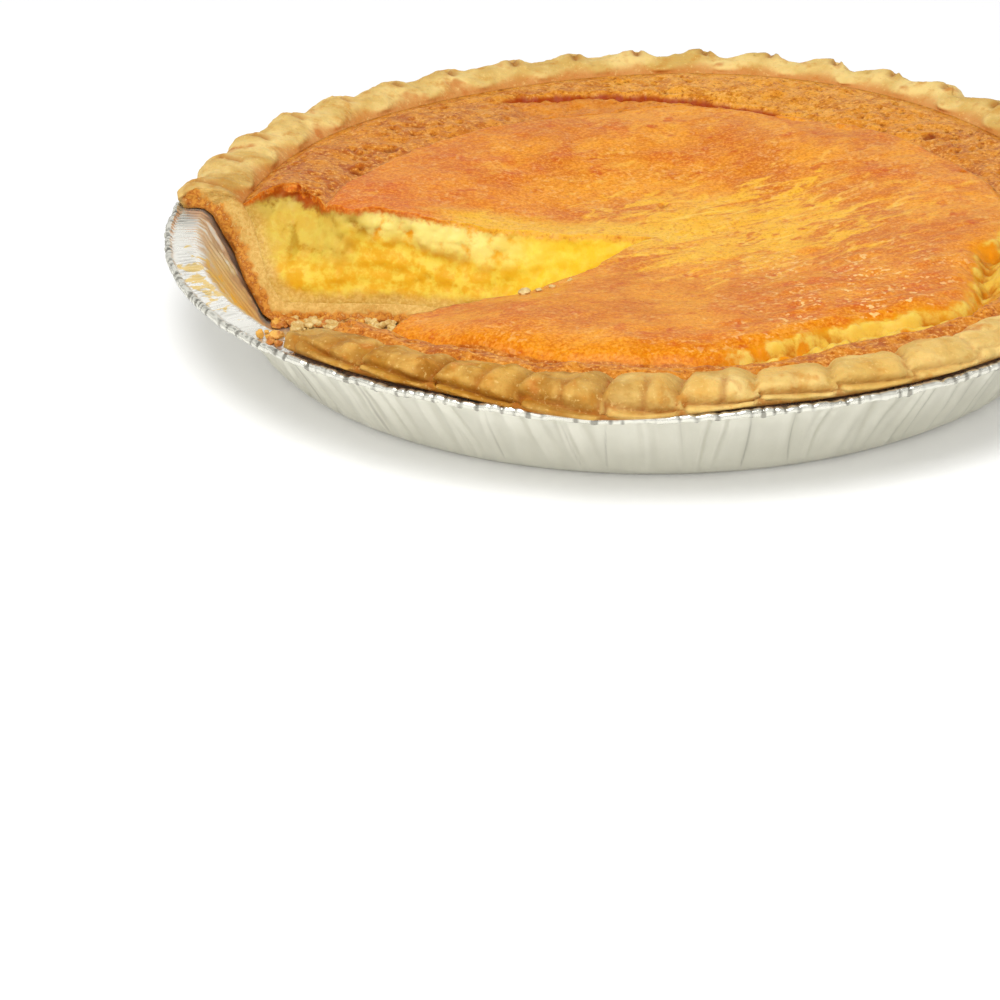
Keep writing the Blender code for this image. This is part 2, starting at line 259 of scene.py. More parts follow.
def to_object(name, points, faces, values, material):
    """A smooth closed piece, with one attribute for each named row of values."""
    mesh = bpy.data.meshes.new(name)
    mesh.from_pydata((points * MM).tolist(), [], faces)
    for label, row in values.items():
        mesh.attributes.new(label, "FLOAT", "POINT").data.foreach_set("value", row.astype(np.float32))
    shell = bmesh.new()
    shell.from_mesh(mesh)
    bmesh.ops.remove_doubles(shell, verts=shell.verts, dist=1e-7)
    bmesh.ops.recalc_face_normals(shell, faces=shell.faces)
    shell.to_mesh(mesh)
    shell.free()
    mesh.shade_smooth()
    mesh.materials.append(material)
    piece = bpy.data.objects.new(name, mesh)
    bpy.context.scene.collection.objects.link(piece)
    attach(piece, "root")
    return piece


def lattice(rows, columns, first=0):
    """Quads over a grid of points that are numbered row by row."""
    i, j = np.meshgrid(np.arange(rows - 1), np.arange(columns - 1), indexing="ij")
    corner = (i * columns + j + first).ravel()
    return np.stack([corner, corner + 1, corner + columns + 1, corner + columns], axis=1)


def slab(upper, lower, keep_upper, keep_lower, columns, depth_rows, shape_upper, shape_lower, detail):
    """The closed solid between two turned profiles, from the near cut round to the far one.

    The profiles have as many points as each other, run from the axis and end at one point. Each
    cut face is a grid between them. Away from the cuts each profile keeps only some of its rings.
    Returns the points, the faces, and for each point its depth share, profile index and angle.
    """
    count = len(upper)
    index = np.arange(count)
    depth = np.linspace(0.0, 1.0, depth_rows + 1) ** DEPTH_POWER
    edges = []
    for far in (False, True):
        angle = np.full((count, depth_rows + 1), FAR_CUT + 360.0 if far else NEAR_CUT)
        for _ in range(4):
            r_up, z_up = shape_upper(upper[:, :1], angle, upper[:, 1:])
            r_low, z_low = shape_lower(lower[:, :1], angle, lower[:, 1:])
            radius, height = mix(r_up, r_low, depth), mix(z_up, z_low, depth)
            angle = cut_angle(radius, height, far, detail)
        edges.append(angle)
    near, far = edges
    far = np.minimum(far, near + 360.0)
    points, labels, faces = [], [], []

    def add(radius, angle, height, share, rows):
        start = sum(len(block) for block in points)
        block = polar(radius, angle, height)
        points.append(block.reshape(-1, 3))
        labels.append(grid(share, rows, angle).reshape(-1, 3))
        return start

    def skin(profile, shape, kept, row, share):
        """A turned surface whose rings are all there at the cuts and thinned out between them."""
        angle = mix(near[:, row : row + 1], far[:, row : row + 1], np.linspace(0.0, 1.0, columns + 1))
        radius, height = shape(profile[:, :1], angle, profile[:, 1:])
        start = add(radius, angle, height, share, index[:, None])
        width = columns + 1
        for a, b in zip(kept, kept[1:]):
            inset = WIDE_STRIP if b - a > 2 else 1
            run = np.arange(a, b + 1) * width + start
            beside = np.arange(1, inset + 1)
            faces.append([*run, *(run[-1] + beside), *(run[0] + beside[::-1])])
            low, high = (ring * width + start + np.arange(inset, columns - inset) for ring in (a, b))
            faces.extend(np.stack([low, high, high + 1, low + 1], axis=1).tolist())
            run = run + columns
            faces.append([*(run[0] - beside), *(run[-1] - beside[::-1]), *run[::-1]])

    skin(upper, shape_upper, keep_upper, 0, 0.0)
    skin(lower, shape_lower, keep_lower, depth_rows, 1.0)
    for side in (near, far):
        r_up, z_up = shape_upper(upper[:, :1], side, upper[:, 1:])
        r_low, z_low = shape_lower(lower[:, :1], side, lower[:, 1:])
        start = add(mix(r_up, r_low, depth), side, mix(z_up, z_low, depth), depth, index[:, None])
        faces += lattice(count, depth_rows + 1, start).tolist()

    return weld(np.vstack(points), np.vstack(labels), faces)


def weld(points, labels, faces):
    """Join points that coincide, and drop collapsed faces and pairs of faces back to back."""
    keys = np.round(points / WELD_GAP).astype(np.int64)
    _, first, group = np.unique(keys, axis=0, return_index=True, return_inverse=True)
    group = group.ravel()
    tidy, seen = [], {}
    for face in faces:
        corners = list(dict.fromkeys(group[face].tolist()))
        if len(corners) < 3:
            continue
        key = tuple(sorted(corners))
        if key in seen:
            tidy[seen[key]] = None
            continue
        seen[key] = len(tidy)
        tidy.append(corners)
    tidy = [face for face in tidy if face is not None]
    used = np.unique(np.concatenate([np.array(face) for face in tidy]))
    renumber = np.full(len(first), -1)
    renumber[used] = np.arange(len(used))
    return points[first[used]], labels[first[used]], [renumber[face].tolist() for face in tidy]


# --- Tin -------------------------------------------------------------------------------------

RIBS = 400
TIN_COLUMNS = 5 * RIBS
PLEATS = 120
TIN_FLOOR_ROWS = 4
TIN_FLANGE_ROWS = 6
TIN_INSIDE_ROWS = 21
TIN_BEAD_ROWS = 11
INNER_CREASES = 250


def wall_radius(height):
    """Inner radius of the tin's sloping wall."""
    share = height / (TIN_HEIGHT - 0.5)
    return BASE_RADIUS - 0.5 + (WALL_TOP_RADIUS - BASE_RADIUS + 0.5) * share


def tin_profile():
    """From the middle of the floor, up the inside, over the lip and back below to the middle."""
    flange = TIN_HEIGHT - LIP_BEAD
    wall = [(wall_radius(z), z) for z in np.linspace(2.2, flange - 1.4, 11)]
    inside = [(0.0, FOIL), (60.0, FOIL), (BASE_RADIUS - 2.4, FOIL), (BASE_RADIUS - 0.6, FOIL + 0.5)]
    top = np.linspace(WALL_TOP_RADIUS + 0.9, LIP_RADIUS - 2.2, TIN_FLANGE_ROWS)
    top = [(r, flange) for r in top]
    centre = (LIP_RADIUS - LIP_BEAD - 0.05, flange)
    arc = np.radians(np.linspace(130.0, -160.0, TIN_BEAD_ROWS))
    bead = [(centre[0] + LIP_BEAD * math.cos(a), centre[1] + LIP_BEAD * math.sin(a)) for a in arc]
    under = [(LIP_RADIUS - 3.0, flange - FOIL), (WALL_TOP_RADIUS + 1.0, flange - FOIL)]
    outside = [(r + FOIL, z - 0.3) for r, z in reversed(wall)]
    base = [(BASE_RADIUS - 1.8, 0.0), (0.0, 0.0)]
    return np.array(inside + wall + top + bead + under + outside + base)


def pleats(radius, angle, height):
    """Relief and shade of slanting folds in the wall, of uneven size, spacing and bend."""
    draw = np.random.default_rng(5)
    relief = np.zeros(np.broadcast(radius, angle, height).shape)
    shade = relief.copy()
    up = height - 13.0
    for k in range(PLEATS):
        centre = 360.0 * (k + draw.uniform(-0.4, 0.4)) / PLEATS
        slant = 0.14 * math.sin(math.radians(centre - 272.0)) + draw.normal(0.0, 0.05)
        bend = draw.normal(0.0, 0.0035)
        size, width = draw.uniform(0.25, 0.85), draw.uniform(0.7, 1.7)
        sharp = max(0.0, draw.uniform(-1.2, 1.0))
        away = (angle - centre - slant * up - bend * up * up + 180.0) % 360.0 - 180.0
        away = np.radians(away) * radius / width
        relief += size * (peak(away, 1.0) - 0.8 * peak(away - 1.8, 1.0))
        one_end = smooth(up * draw.choice([-1, 1]), -14.0, 2.0)
        shade += sharp * peak((away - 0.9) * width, 0.3) * one_end
    return relief, shade


def overhang(angle):
    """Where the pastry hangs over the tin's lip, at the front."""
    return around(angle, 264.0, 20.0)


def tin_shape(radius, angle, height):
    """The dents, pleats and ribs of crimped foil; also returns the painted shade of its pleats, crimps
    and crinkles.
    """
    on_wall = smooth(height, 0.6, 5.0) * smooth(height, TIN_HEIGHT - 1.2, TIN_HEIGHT - 4.0)
    flat = smooth(radius, WALL_TOP_RADIUS - 0.5, WALL_TOP_RADIUS + 2.0)
    spots = polar(radius, angle, height)
    facets = 0.5 * noise(spots, 17.0, 3.0) + 0.22 * noise(spots, 6.0, 4.0)
    fold, shade = pleats(radius, angle, height)
    radius = radius + on_wall * (1.1 * fold + facets)
    rib = np.sin(np.radians(RIBS * angle)) * (0.7 + 0.7 * noise(spots, 9.0, 6.0))
    lip = smooth(radius, LIP_RADIUS - 3.0, LIP_RADIUS - 1.2)
    dents = np.minimum(noise(spots, 3.6, 8.0) + 0.5 * noise(spots, 1.7, 7.0), 0.15)
    round_lip = polar(100.0, angle, 0.0)
    crimp = (angle / 1.5 + 1.4 * noise(round_lip, 14.0, 10.0)) % 1.0 - 0.5
    crimp = peak(crimp, 0.19) * smooth(noise(round_lip, 4.0, 12.0), -0.8, 0.2)
    waves = 0.13 * rib * (1.0 - 0.6 * lip) + 0.3 * noise(spots, 11.0, 9.0)
    height = height + flat * (waves + 0.2 * noise(spots, 3.4, 16.0))
    height = height + lip * (0.5 * dents - 0.3 * crimp)
    pressed = overhang(angle)
    height = height - 1.5 * pressed * smooth(radius, LIP_RADIUS - 8.0, LIP_RADIUS)
    radius = radius - 1.3 * pressed * lip
    radius = radius + lip * (0.45 * dents - 0.15 * np.abs(rib) - 0.2 * crimp - 0.05)
    # Painted shade and dark reflections: dark marks in the lip's crimps and dark strokes along the
    # flange's rib valleys.
    crinkle = smooth(-rib, 0.1, 1.0) * smooth(noise(spots, 5.0, 18.0), -0.3, 0.4)
    shade = np.maximum(on_wall * shade, lip * crimp * (0.8 - 1.6 * dents))
    shade = np.maximum(shade, 0.7 * flat * (1.0 - lip) * crinkle)
    return np.minimum(radius, LIP_RADIUS), np.minimum(height, TIN_HEIGHT), shade


def build_tin(material):
    profile = tin_profile()
    angle = np.arange(TIN_COLUMNS) * 360.0 / TIN_COLUMNS
    radius, height, shade = tin_shape(profile[:, :1], angle, profile[:, 1:])
    height[0], height[-1] = FOIL, 0.0
    row = np.arange(len(profile))[:, None]
    flange_row = TIN_INSIDE_ROWS - TIN_FLANGE_ROWS
    inside = (row >= TIN_FLOOR_ROWS) & (row <= flange_row)
    fine = 0.5 + noise(polar(100.0, angle, height), 5.0, 11.0)
    fine = np.sin(np.radians(INNER_CREASES * angle)) * fine
    radius = radius + 0.2 * inside * smooth(height, 1.0, 6.0) * fine
    turn = np.radians(angle)
    points = np.stack([radius * np.cos(turn), radius * np.sin(turn), height], -1).reshape(-1, 3)
    faces = lattice(len(profile), TIN_COLUMNS)
    seam = np.arange(len(profile) - 1) * TIN_COLUMNS + TIN_COLUMNS - 1
    seam = np.stack([seam, seam - TIN_COLUMNS + 1, seam + 1, seam + TIN_COLUMNS], axis=1)
    in_gap = around(angle, 0.5 * (FAR_CUT + NEAR_CUT), 32.0)
    lip_row = (row >= flange_row) & (row < TIN_INSIDE_ROWS + TIN_BEAD_ROWS)
    values = {
        # Painted shade and dark reflections in the pleats, crimps and crinkles.
        "fold": shade,
        "in_gap_inside": in_gap * (row < TIN_INSIDE_ROWS),
        "tan": in_gap * (row < flange_row),
        "lip": 1.0 * lip_row,
    }
    rows = np.stack([np.broadcast_to(v, height.shape).ravel() for v in values.values()], axis=1)
    points, labels, faces = weld(points, rows, np.vstack([faces, seam]).tolist())
    return to_object("foil_tin", points, faces, dict(zip(values, labels.T)), material)


# --- Crust -----------------------------------------------------------------------------------

CRUST_COLUMNS = 860
RIM_SAMPLES = 34
SEAT_SAMPLES = 8
WALL_SAMPLES = 22
FLOOR_SAMPLES = 64
SEAT_WRAP = 0.8
RIM_ROW = FLOOR_SAMPLES + WALL_SAMPLES

FLUTE_LENGTH = 18.3
CRUST_TOP = 31.5
WALL_FOOT_RADIUS = 94.6
WALL_HALF_RADIUS = 99.7
WALL_HALF_HEIGHT = 0.5 * (CRUST_FLOOR + JOIN_HEIGHT)


def along(points, samples):
    """A smooth curve through points, read at evenly spaced places."""
    curve = spline(points, 12)
    lengths = np.r_[0.0, np.cumsum(np.linalg.norm(np.diff(curve, axis=0), axis=1))]
    marks = np.linspace(0.0, lengths[-1], samples + 1)
    return np.stack([np.interp(marks, lengths, curve[:, i]) for i in (0, 1)], axis=1)


def crust_profiles():
    """The pastry's inner and outer outlines, from the axis out and up to the crest."""
    foot = CRUST_FOOT
    crest = (CREST_RADIUS, CREST_HEIGHT)
    join = (JOIN_RADIUS, JOIN_HEIGHT)
    floor_end = (92.0, CRUST_FLOOR)
    wall = [(WALL_FOOT_RADIUS, CRUST_FLOOR + 1.1), (WALL_HALF_RADIUS, WALL_HALF_HEIGHT), join]
    inner = [
        along([(0.0, CRUST_FLOOR), floor_end], FLOOR_SAMPLES),
        along([floor_end, *wall], WALL_SAMPLES),
        along([join, (107.6, 29.2), (111.6, 30.5), crest], RIM_SAMPLES),
    ]
    wall = [(wall_radius(z) - 0.9, z) for z in (2.2, 12.0, 24.2)]
    seat_end = (118.7, TIN_HEIGHT - 0.45)
    seat = [wall[-1], (WALL_TOP_RADIUS + 0.9, TIN_HEIGHT - 0.5), seat_end]
    edge = [seat_end, (OUTER_RADIUS, TIN_HEIGHT + 0.9), (119.9, 28.4), (118.2, 29.9), crest]
    outer = [
        along([(0.0, foot), (95.2, foot)], FLOOR_SAMPLES),
        along([(95.2, foot), (96.1, foot + 0.4), *wall], WALL_SAMPLES),
        along(seat, SEAT_SAMPLES),
        along(edge, RIM_SAMPLES - SEAT_SAMPLES),
    ]
    inner = np.vstack([span[:-1] for span in inner] + [inner[-1][-1:]])
    outer = np.vstack([span[:-1] for span in outer] + [outer[-1][-1:]])
    return inner, outer


def crust_wraps():
    """Where each ring of the two outlines lies on the rim: 0 at the filling, 0.5 crest, 1 seat."""
    flat = np.zeros(RIM_ROW)
    seat = np.linspace(1.0, SEAT_WRAP, SEAT_SAMPLES, endpoint=False)
    edge = np.linspace(SEAT_WRAP, 0.5, RIM_SAMPLES - SEAT_SAMPLES + 1)
    return np.r_[flat, np.linspace(0.0, 0.5, RIM_SAMPLES + 1)], np.r_[flat + 1.0, seat, edge]


def join_shift(angle, height):
    """How far the pastry's inner wall and the filling's edge move out and up, by angle."""
    high = smooth(height, 12.0, JOIN_HEIGHT)
    back = around(angle, 70.0, 56.0)
    return high * (3.6 * back - 1.6 * around(angle, 166.0, 30.0)), high * 1.1 * back


def flute_turn(angle):
    """The flutes counted round the rim: a whole number at each pinch or notch."""
    front = around(angle, 262.0, 40.0)
    wander = 0.6 * (1.0 - front) * noise(polar(100.0, angle, 0.0), 24.0, 2.0)
    return FLUTES * (angle - FLUTE_START - 1.7 * around(angle, 262.0, 22.0) - wander) / 360.0


def front_share(angle):
    """Where the rim is a rope rather than fluted."""
    return facing_eater(angle, -0.25, 0.4)


def part(turn):
    return turn - np.floor(turn)


def pinched(turn):
    """The back's flutes: 1 at a pinch, falling gently on one side of it and steeply on the other."""
    share = part(turn)
    phase = np.where(share < 0.7, share / 0.7, 1.0 + (share - 0.7) / 0.3)
    return np.cos(np.pi * phase)


def rope(turn, wrap):
    """The front's twisted edge: how high it stands in millimetres, and the painted shade of its creases
    and low places.

    Each flute has one broad lobe over the crest, which rises at a notch, is creased past its middle
    and slopes down to the next notch. A narrow flap slants down below it.
    """
    down = (wrap - 0.5) * np.where(wrap < 0.5, 24.0, 28.0)
    slanted = turn + 0.25 * down / FLUTE_LENGTH
    share = part(slanted)
    lobe_count = np.floor(slanted).astype(int)
    odd, following = (OFFSETS[(lobe_count + k) & 255] for k in (3, 4))
    rise = 1.0 - (1.0 - np.clip(share / (0.1 + 0.08 * odd[..., 0]), 0.0, 1.0)) ** 2
    fall = np.clip((1.0 - share) / (0.2 + 0.16 * odd[..., 1]), 0.0, 1.0)
    notch = 0.5 * mix(odd[..., 2], following[..., 2], share)
    lobe = mix(notch, 0.86 + 0.16 * odd[..., 0], rise * fall * (2.0 - fall))
    below = part(turn)
    hem = 2.6 + 2.1 * below + 1.0 * (odd[..., 0] - 0.5)
    lobe = lobe * smooth(down, -12.2, -9.6) * smooth(down, hem + 1.1, hem - 0.6)
    dent = peak(share - 0.48 - 0.14 * odd[..., 0], 0.05)
    dent = dent * smooth(down, -6.0, 0.0) * smooth(down, 7.0, 4.0) * (0.4 + 0.8 * odd[..., 1])
    ridge = peak(down - hem - 2.5, 1.4)
    ridge = ridge * smooth(below, 0.0, 0.1) * smooth(below, 1.0, 0.9)
    height = np.maximum(3.5 * lobe - 0.9 * dent, 3.0 * ridge)
    # The second value is painted shade: dark in the dents and where the rope stands low.
    return height, np.maximum(0.7 * dent, smooth(height, 1.5, 0.3))


def rope_quiet(angle):
    """The rope is flatter towards the right and dies out beside the near cut."""
    right = around(angle, 318.0, 40.0)
    end = around(angle, NEAR_CUT, 9.0)
    return (1.0 - 0.65 * right) * (1.0 - 0.8 * end)


def crust_shape(radius, angle, height, wrap, facing):
    """Finger flutes at the back, which turn into a twisted rope with flaps at the front."""
    front = front_share(angle)
    back = 1.0 - front
    on_rope = front * rope_quiet(angle)
    turn = flute_turn(angle)
    rise = smooth(height, JOIN_HEIGHT - 0.5, CREST_HEIGHT - 1.0)
    outside = smooth(radius, CREST_RADIUS - 1.0, OUTER_RADIUS - 1.0)
    inside = rise * (1.0 - outside)
    outward = outside * smooth(height, TIN_HEIGHT, TIN_HEIGHT + 1.6)

    inner_wall = smooth(wall_radius(height) - radius, 1.5, 3.0)
    on_join = np.maximum(inner_wall, smooth(CREST_RADIUS - radius, 1.0, 6.0) * rise)
    push, lift = join_shift(angle, np.minimum(height, JOIN_HEIGHT))
    base_radius = radius
    radius = radius + push * on_join
    height = height + lift * on_join * (1.0 - 0.6 * rise)

    swell = 1.0 + 0.45 * noise(polar(115.0, angle, 0.0), 13.0, 17.0)
    pinch = pinched(turn) * swell
    radius = radius + 2.0 * inside * back * pinch + outward * back * pinch
    height = height + 0.6 * np.maximum(inside, outward) * back * pinch
    height = height - 1.9 * inside * around(angle, NEAR_CUT, 9.0)

    hanging = smooth(base_radius, 116.0, 120.0) * smooth(wrap, 0.5, 0.7) * smooth(wrap, 0.9, 0.8)
    droop = overhang(angle) * hanging
    radius = radius + 1.5 * droop
    height = height - 2.4 * droop

    on_rim = np.maximum(rise, outward)
    spots = polar(radius, angle, height)
    dent = crease(turn, 0.05) * smooth(wrap, 0.2, 0.34) * smooth(wrap, 0.62, 0.5)
    relief = -1.6 * back * swell * dent
    relief = relief + on_rope * (rope(turn, wrap)[0] - 2.8) * smooth(wrap, 0.01, 0.09)
    uneven = (0.45 + 0.25 * front) * noise(spots, 8.0, 12.0)
    relief += uneven + (0.2 + 0.25 * front) * noise(spots, 3.6, 13.0)
    relief += 0.12 * noise(spots, 1.6, 14.0)
    stroke = grid(angle * 2.0, wrap * 6.0, 5.0)
    relief += 0.24 * back * noise(stroke, 1.6, 15.0)
    relief = relief * on_rim * smooth(wrap, 0.84, 0.78)
    radius = radius + facing[..., 0] * relief
    height = height + facing[..., 1] * relief
    return np.minimum(radius, LIP_RADIUS - 0.1), np.minimum(height, CRUST_TOP)


def crease(turn, width):
    """A narrow line at each pinch."""
    return peak(turn - np.round(turn), width)


def facings(inner, outer):
    """Unit vectors across both outlines, out of the pastry; they agree at the crest."""
    whole = np.vstack([inner, outer[-2::-1]])
    step = np.gradient(whole, axis=0)
    step /= np.linalg.norm(step, axis=1, keepdims=True)
    normal = np.stack([-step[:, 1], step[:, 0]], axis=1)
    return normal[: len(inner)], normal[len(inner) - 1 :][::-1]


def shell_radius(height):
    """Radius of the pastry's inner wall."""
    heights = [CRUST_FLOOR + 1.1, WALL_HALF_HEIGHT, JOIN_HEIGHT]
    return np.interp(height, heights, [WALL_FOOT_RADIUS, WALL_HALF_RADIUS, JOIN_RADIUS])


def crumb_relief(reach, height):
    """The broken pastry at the cuts."""
    spots = grid(reach, height, 3.0)
    lumps = 0.9 * (curds(spots, 3.3, 3.0) - 0.6) + 0.5 * (curds(spots, 1.6, 5.0) - 0.6)
    beyond = smooth(reach - shell_radius(height), 0.5, 1.8)
    off_custard = np.maximum(beyond, smooth(height, CRUST_FLOOR - 0.5, CRUST_FLOOR - 1.8))
    return cut_wave(reach, height) + off_custard * (0.3 * noise(spots, 6.0, 22.0) - lumps)


def build_crust(material):
    inner, outer = crust_profiles()
    wrap_in, wrap_out = (wrap[:, None] for wrap in crust_wraps())
    face_in, face_out = (face[:, None, :] for face in facings(inner, outer))

    def shape_inner(radius, angle, height):
        return crust_shape(radius, angle, height, wrap_in, face_in)

    def shape_outer(radius, angle, height):
        return crust_shape(radius, angle, height, wrap_out, face_out)

    kept = [*range(0, FLOOR_SAMPLES, 8), *range(FLOOR_SAMPLES, RIM_ROW, 4)]
    kept += range(RIM_ROW, len(inner))
    points, labels, faces = slab(
        inner, outer, kept, kept, CRUST_COLUMNS, 10, shape_inner, shape_outer, crumb_relief
    )
    share, row, angle = labels.T
    row = row.astype(int)
    wrapped = np.where(share > 0.5, wrap_out[row, 0], wrap_in[row, 0])
    front = front_share(angle)
    on_rope = front * rope_quiet(angle)
    turn = flute_turn(angle)
    on_rim = smooth(row, RIM_ROW - 2, RIM_ROW + 6) * smooth(wrapped, SEAT_WRAP, 0.75)
    dent = (1.0 - front) * crease(turn, 0.08)
    dent = dent * smooth(wrapped, 0.2, 0.34) * smooth(wrapped, 0.6, 0.48)
    standing, creased = rope(turn, wrapped)
    dent = dent + on_rope * creased * smooth(wrapped, 0.1, 0.2)
    cut = 4.0 * share * (1.0 - share)
    under_custard = (row < RIM_ROW - 1) * (share < 0.5)
    valley = on_rope * smooth(standing, 1.6, 0.5) * smooth(wrapped, 0.46, 0.3)
    junction = np.maximum(smooth(wrapped, 0.16, 0.02), valley)
    values = {
        # Painted shade in the back's crease dents and in the rope's creases and low places.
        "fold": np.clip(dent, 0.0, 1.0) * on_rim,
        # Painted highlight on the tops of the rope's lobes.
        "swell": on_rim * (on_rope * smooth(standing, 1.6, 3.0)),
        # Darker under the rim and over the lip: partly browning, partly painted shade.
        "under": smooth(wrapped, 0.77, 0.83) + 0.5 * front * smooth(wrapped, 0.72, 0.79),
        "cut": np.maximum(smooth(cut, 0.0, 0.3), 1.0 * under_custard),
        "baked": around(angle, 245.0, 46.0) + 0.6 * around(angle, 184.0, 30.0),
        "shell": share,
        "junction": junction * (share < 0.5) * (row >= RIM_ROW - 6),
    }
    return to_object("pastry_crust", points, faces, values, material)


# --- Filling ---------------------------------------------------------------------------------

FILLING_COLUMNS = 600
BAND_RINGS = 70
DOME_RINGS = 96
FACE_ROWS = 44
FILLING_TOP = 28.9


def broken_share(angle):
    """Where the dome's edge has broken away, at the front right."""
    wide = np.maximum(around(angle, 300.0, 27.0), around(angle, 340.0, 22.0))
    return np.maximum(smooth(wide, 0.05, 0.5), 0.6 * around(angle, 320.0, 20.0))


def dome_edge(angle):
    """Radius of the dome's edge, which lies off centre and wanders."""
    turn = np.radians(angle)
    off_centre = 6.5 * np.cos(turn - math.radians(-62.0)) - 3.0 * around(angle, 116.0, 44.0)
    rim = polar(85.0, angle, 0.0)
    wander = 1.5 * noise(rim, 34.0, 4.0) + 0.8 * noise(rim, 9.0, 5.0) + 0.4 * noise(rim, 3.5, 6.0)
    broken = broken_share(angle)
    torn = broken * (1.4 * noise(rim, 8.0, 6.0) + 0.3 * noise(rim, 3.5, 7.0))
    moved = 3.5 * around(angle, 318.0, 13.0) - 6.0 * around(angle, 299.0, 22.0)
    moved = moved - 5.0 * around(angle, 340.0, 14.0)
    return DOME_EDGE + off_centre + wander + torn + moved


def dome_height(ring):
    return mix(DOME_CENTRE, DOME_RIM, smooth(ring, 20.0, DOME_EDGE - 8.5))


def cracked(angle):
    """Where the band at the back is cracked."""
    return smooth(around(angle, 84.0, 42.0), 0.02, 0.3)


def crack_line(radius, angle, spots):
    """Distance outwards from that crack."""
    wander = 1.8 * noise(spots, 9.0, 35.0) + 0.9 * noise(spots, 3.0, 36.0)
    wander = wander + 0.3 * noise(spots, 1.2, 37.0)
    return radius - (93.0 - 0.23 * (106.0 - angle % 360.0)) - wander


def pits(spots):
    """Small burst bubbles of the band, in patches."""
    depth = np.clip(0.42 - cells(spots, 2.9, 5.0), 0.0, 1.0) / 0.42
    return depth * smooth(noise(spots, 12.0, 33.0), -0.4, 0.5)


def wrinkles(x, angle):
    """Where the skin is wrinkled, at the front right."""
    return hump(x, 48.0, 48.0) * front_share(angle + 20.0)


# Angle, radius, half width and depth of each.
BLEMISHES = (
    (83.0, 20.5, 1.5, 0.5),
    (237.5, 62.0, 1.9, 0.5),
    (144.5, 84.5, 2.1, 1.0),
    (156.5, 84.0, 1.9, 1.0),
    (149.0, 92.0, 1.1, 0.8),
    (37.5, 91.0, 2.2, 1.0),
    (19.5, 84.0, 1.3, 0.7),
    (16.5, 87.0, 1.0, 0.7),
)


def blemish(spots):
    """The larger burst bubbles and dark marks."""
    total = np.zeros(spots.shape[:-1])
    ragged = 0.35 * noise(spots, 1.4, 38.0)
    for angle, radius, half_width, depth in BLEMISHES:
        middle = polar(np.array(radius), np.array(angle), 0.0)
        away = np.linalg.norm((spots - middle)[..., :2], axis=-1) / half_width + ragged
        total = np.maximum(total, depth * smooth(away, 1.25, 0.35))
    return total


def broken_lumps(spots):
    """Rounded curds of the broken edge, from about -1 to 1."""
    lumps = curds(spots, 4.6, 7.0) - 0.65 + 0.7 * (curds(spots, 2.2, 8.0) - 0.6)
    return lumps + 0.5 * noise(spots, 9.0, 54.0)


def filling_top(ring, angle, height):
    """The browned top: a hollow, the dome's soft edge, a moat and the puffed, pitted band."""
    edge_move = dome_edge(angle) - DOME_EDGE
    outwards = smooth(ring, JOIN_RADIUS - 1.0, DOME_EDGE)
    share = np.where(ring < DOME_EDGE, ring / DOME_EDGE, outwards)
    at_wall = smooth(ring, JOIN_RADIUS - 14.0, JOIN_RADIUS - 3.0)
    shift, lift = join_shift(angle, JOIN_HEIGHT + 0.0 * ring)
    radius = ring + share * edge_move + shift * at_wall
    free = 1.0 - smooth(ring, JOIN_RADIUS - 5.0, JOIN_RADIUS)

    front = facing_eater(angle, 0.1, 0.6)
    broken = broken_share(angle)
    steep = np.maximum(front, around(angle, 318.0, 34.0))
    band = BAND_HEIGHT - 0.9 * hump(ring, JOIN_RADIUS, 5.0)
    band = band - mix(0.9, 2.4, steep) * (1.0 - smooth(ring, DOME_EDGE + 4.0, DOME_EDGE + 13.0))
    start = mix(mix(-1.6, -10.0, steep), -6.0, broken)
    fall = np.clip((ring - DOME_EDGE - start) / (1.5 - start), 0.0, 1.0)
    fall = mix(fall * fall * (3.0 - 2.0 * fall), fall**2.4, steep * (1.0 - broken))
    height = mix(dome_height(ring), band, fall)
    height = height - mix(0.7, 1.3, steep) * hump(ring, DOME_EDGE + 1.6, 3.0)
    height = height - 1.3 * broken * hump(ring, DOME_EDGE + 2.5, 5.0)

    spots = polar(radius, angle, 0.0)
    height = height + 0.6 * free * noise(spots, 22.0, 2.5)
    height = height + free * (0.3 * noise(spots, 7.0, 31.0) + 0.12 * noise(spots, 2.8, 32.0))
    streak = spots @ np.array([[0.88, -0.47, 0.0], [0.47, 0.88, 0.0], [0.0, 0.0, 1.0]])
    wrinkled = 0.25 + wrinkles(radius * np.cos(np.radians(angle)), angle)
    height = height + 0.5 * wrinkled * free * noise(streak * [0.3, 1.0, 1.0], 3.4, 39.0)

    on_band = smooth(ring, DOME_EDGE + 1.0, DOME_EDGE + 3.5)
    on_band = on_band * smooth(ring, JOIN_RADIUS - 0.3, JOIN_RADIUS - 2.5)
    height = height + on_band * (0.5 * (curds(spots, 2.1, 6.0) - 0.6) - 1.2 * pits(spots))
    height = height + 0.5 * on_band * noise(spots, 5.0, 34.0)

    height = height + 1.4 * around(angle, 170.0, 16.0) * hump(ring, 96.0, 10.0)
    line = crack_line(radius, angle, spots)
    at_back = cracked(angle)
    height = height - 2.4 * at_back * peak(line, 0.95)
    branch = line + 3.2 + 1.5 * noise(spots, 7.0, 40.0)
    height = height - 0.9 * at_back * around(angle, 72.0, 26.0) * peak(branch, 0.6)
    sunk = smooth(line, 0.8, -1.0) * smooth(ring, DOME_EDGE - 0.5, DOME_EDGE + 1.5)
    height = height - 0.8 * sunk * at_back

    cliff = broken * smooth(ring, DOME_EDGE - 3.5, DOME_EDGE)
    cliff = cliff * smooth(ring, DOME_EDGE + 10.0, DOME_EDGE + 7.5)
    height = height + 2.3 * cliff * broken_lumps(spots)
    height = height - 1.4 * blemish(spots) * free
    slump = around(angle, NEAR_CUT, 22.0) * smooth(ring, 27.0, 50.0)
    height = height - 4.7 * slump * (1.0 - smooth(ring, 86.0, 101.0))
    return radius, np.minimum(height + lift * at_wall, FILLING_TOP)


def filling_foot(radius, angle, height):
    shift, lift = join_shift(angle, np.minimum(height, JOIN_HEIGHT))
    return radius + shift, height + lift


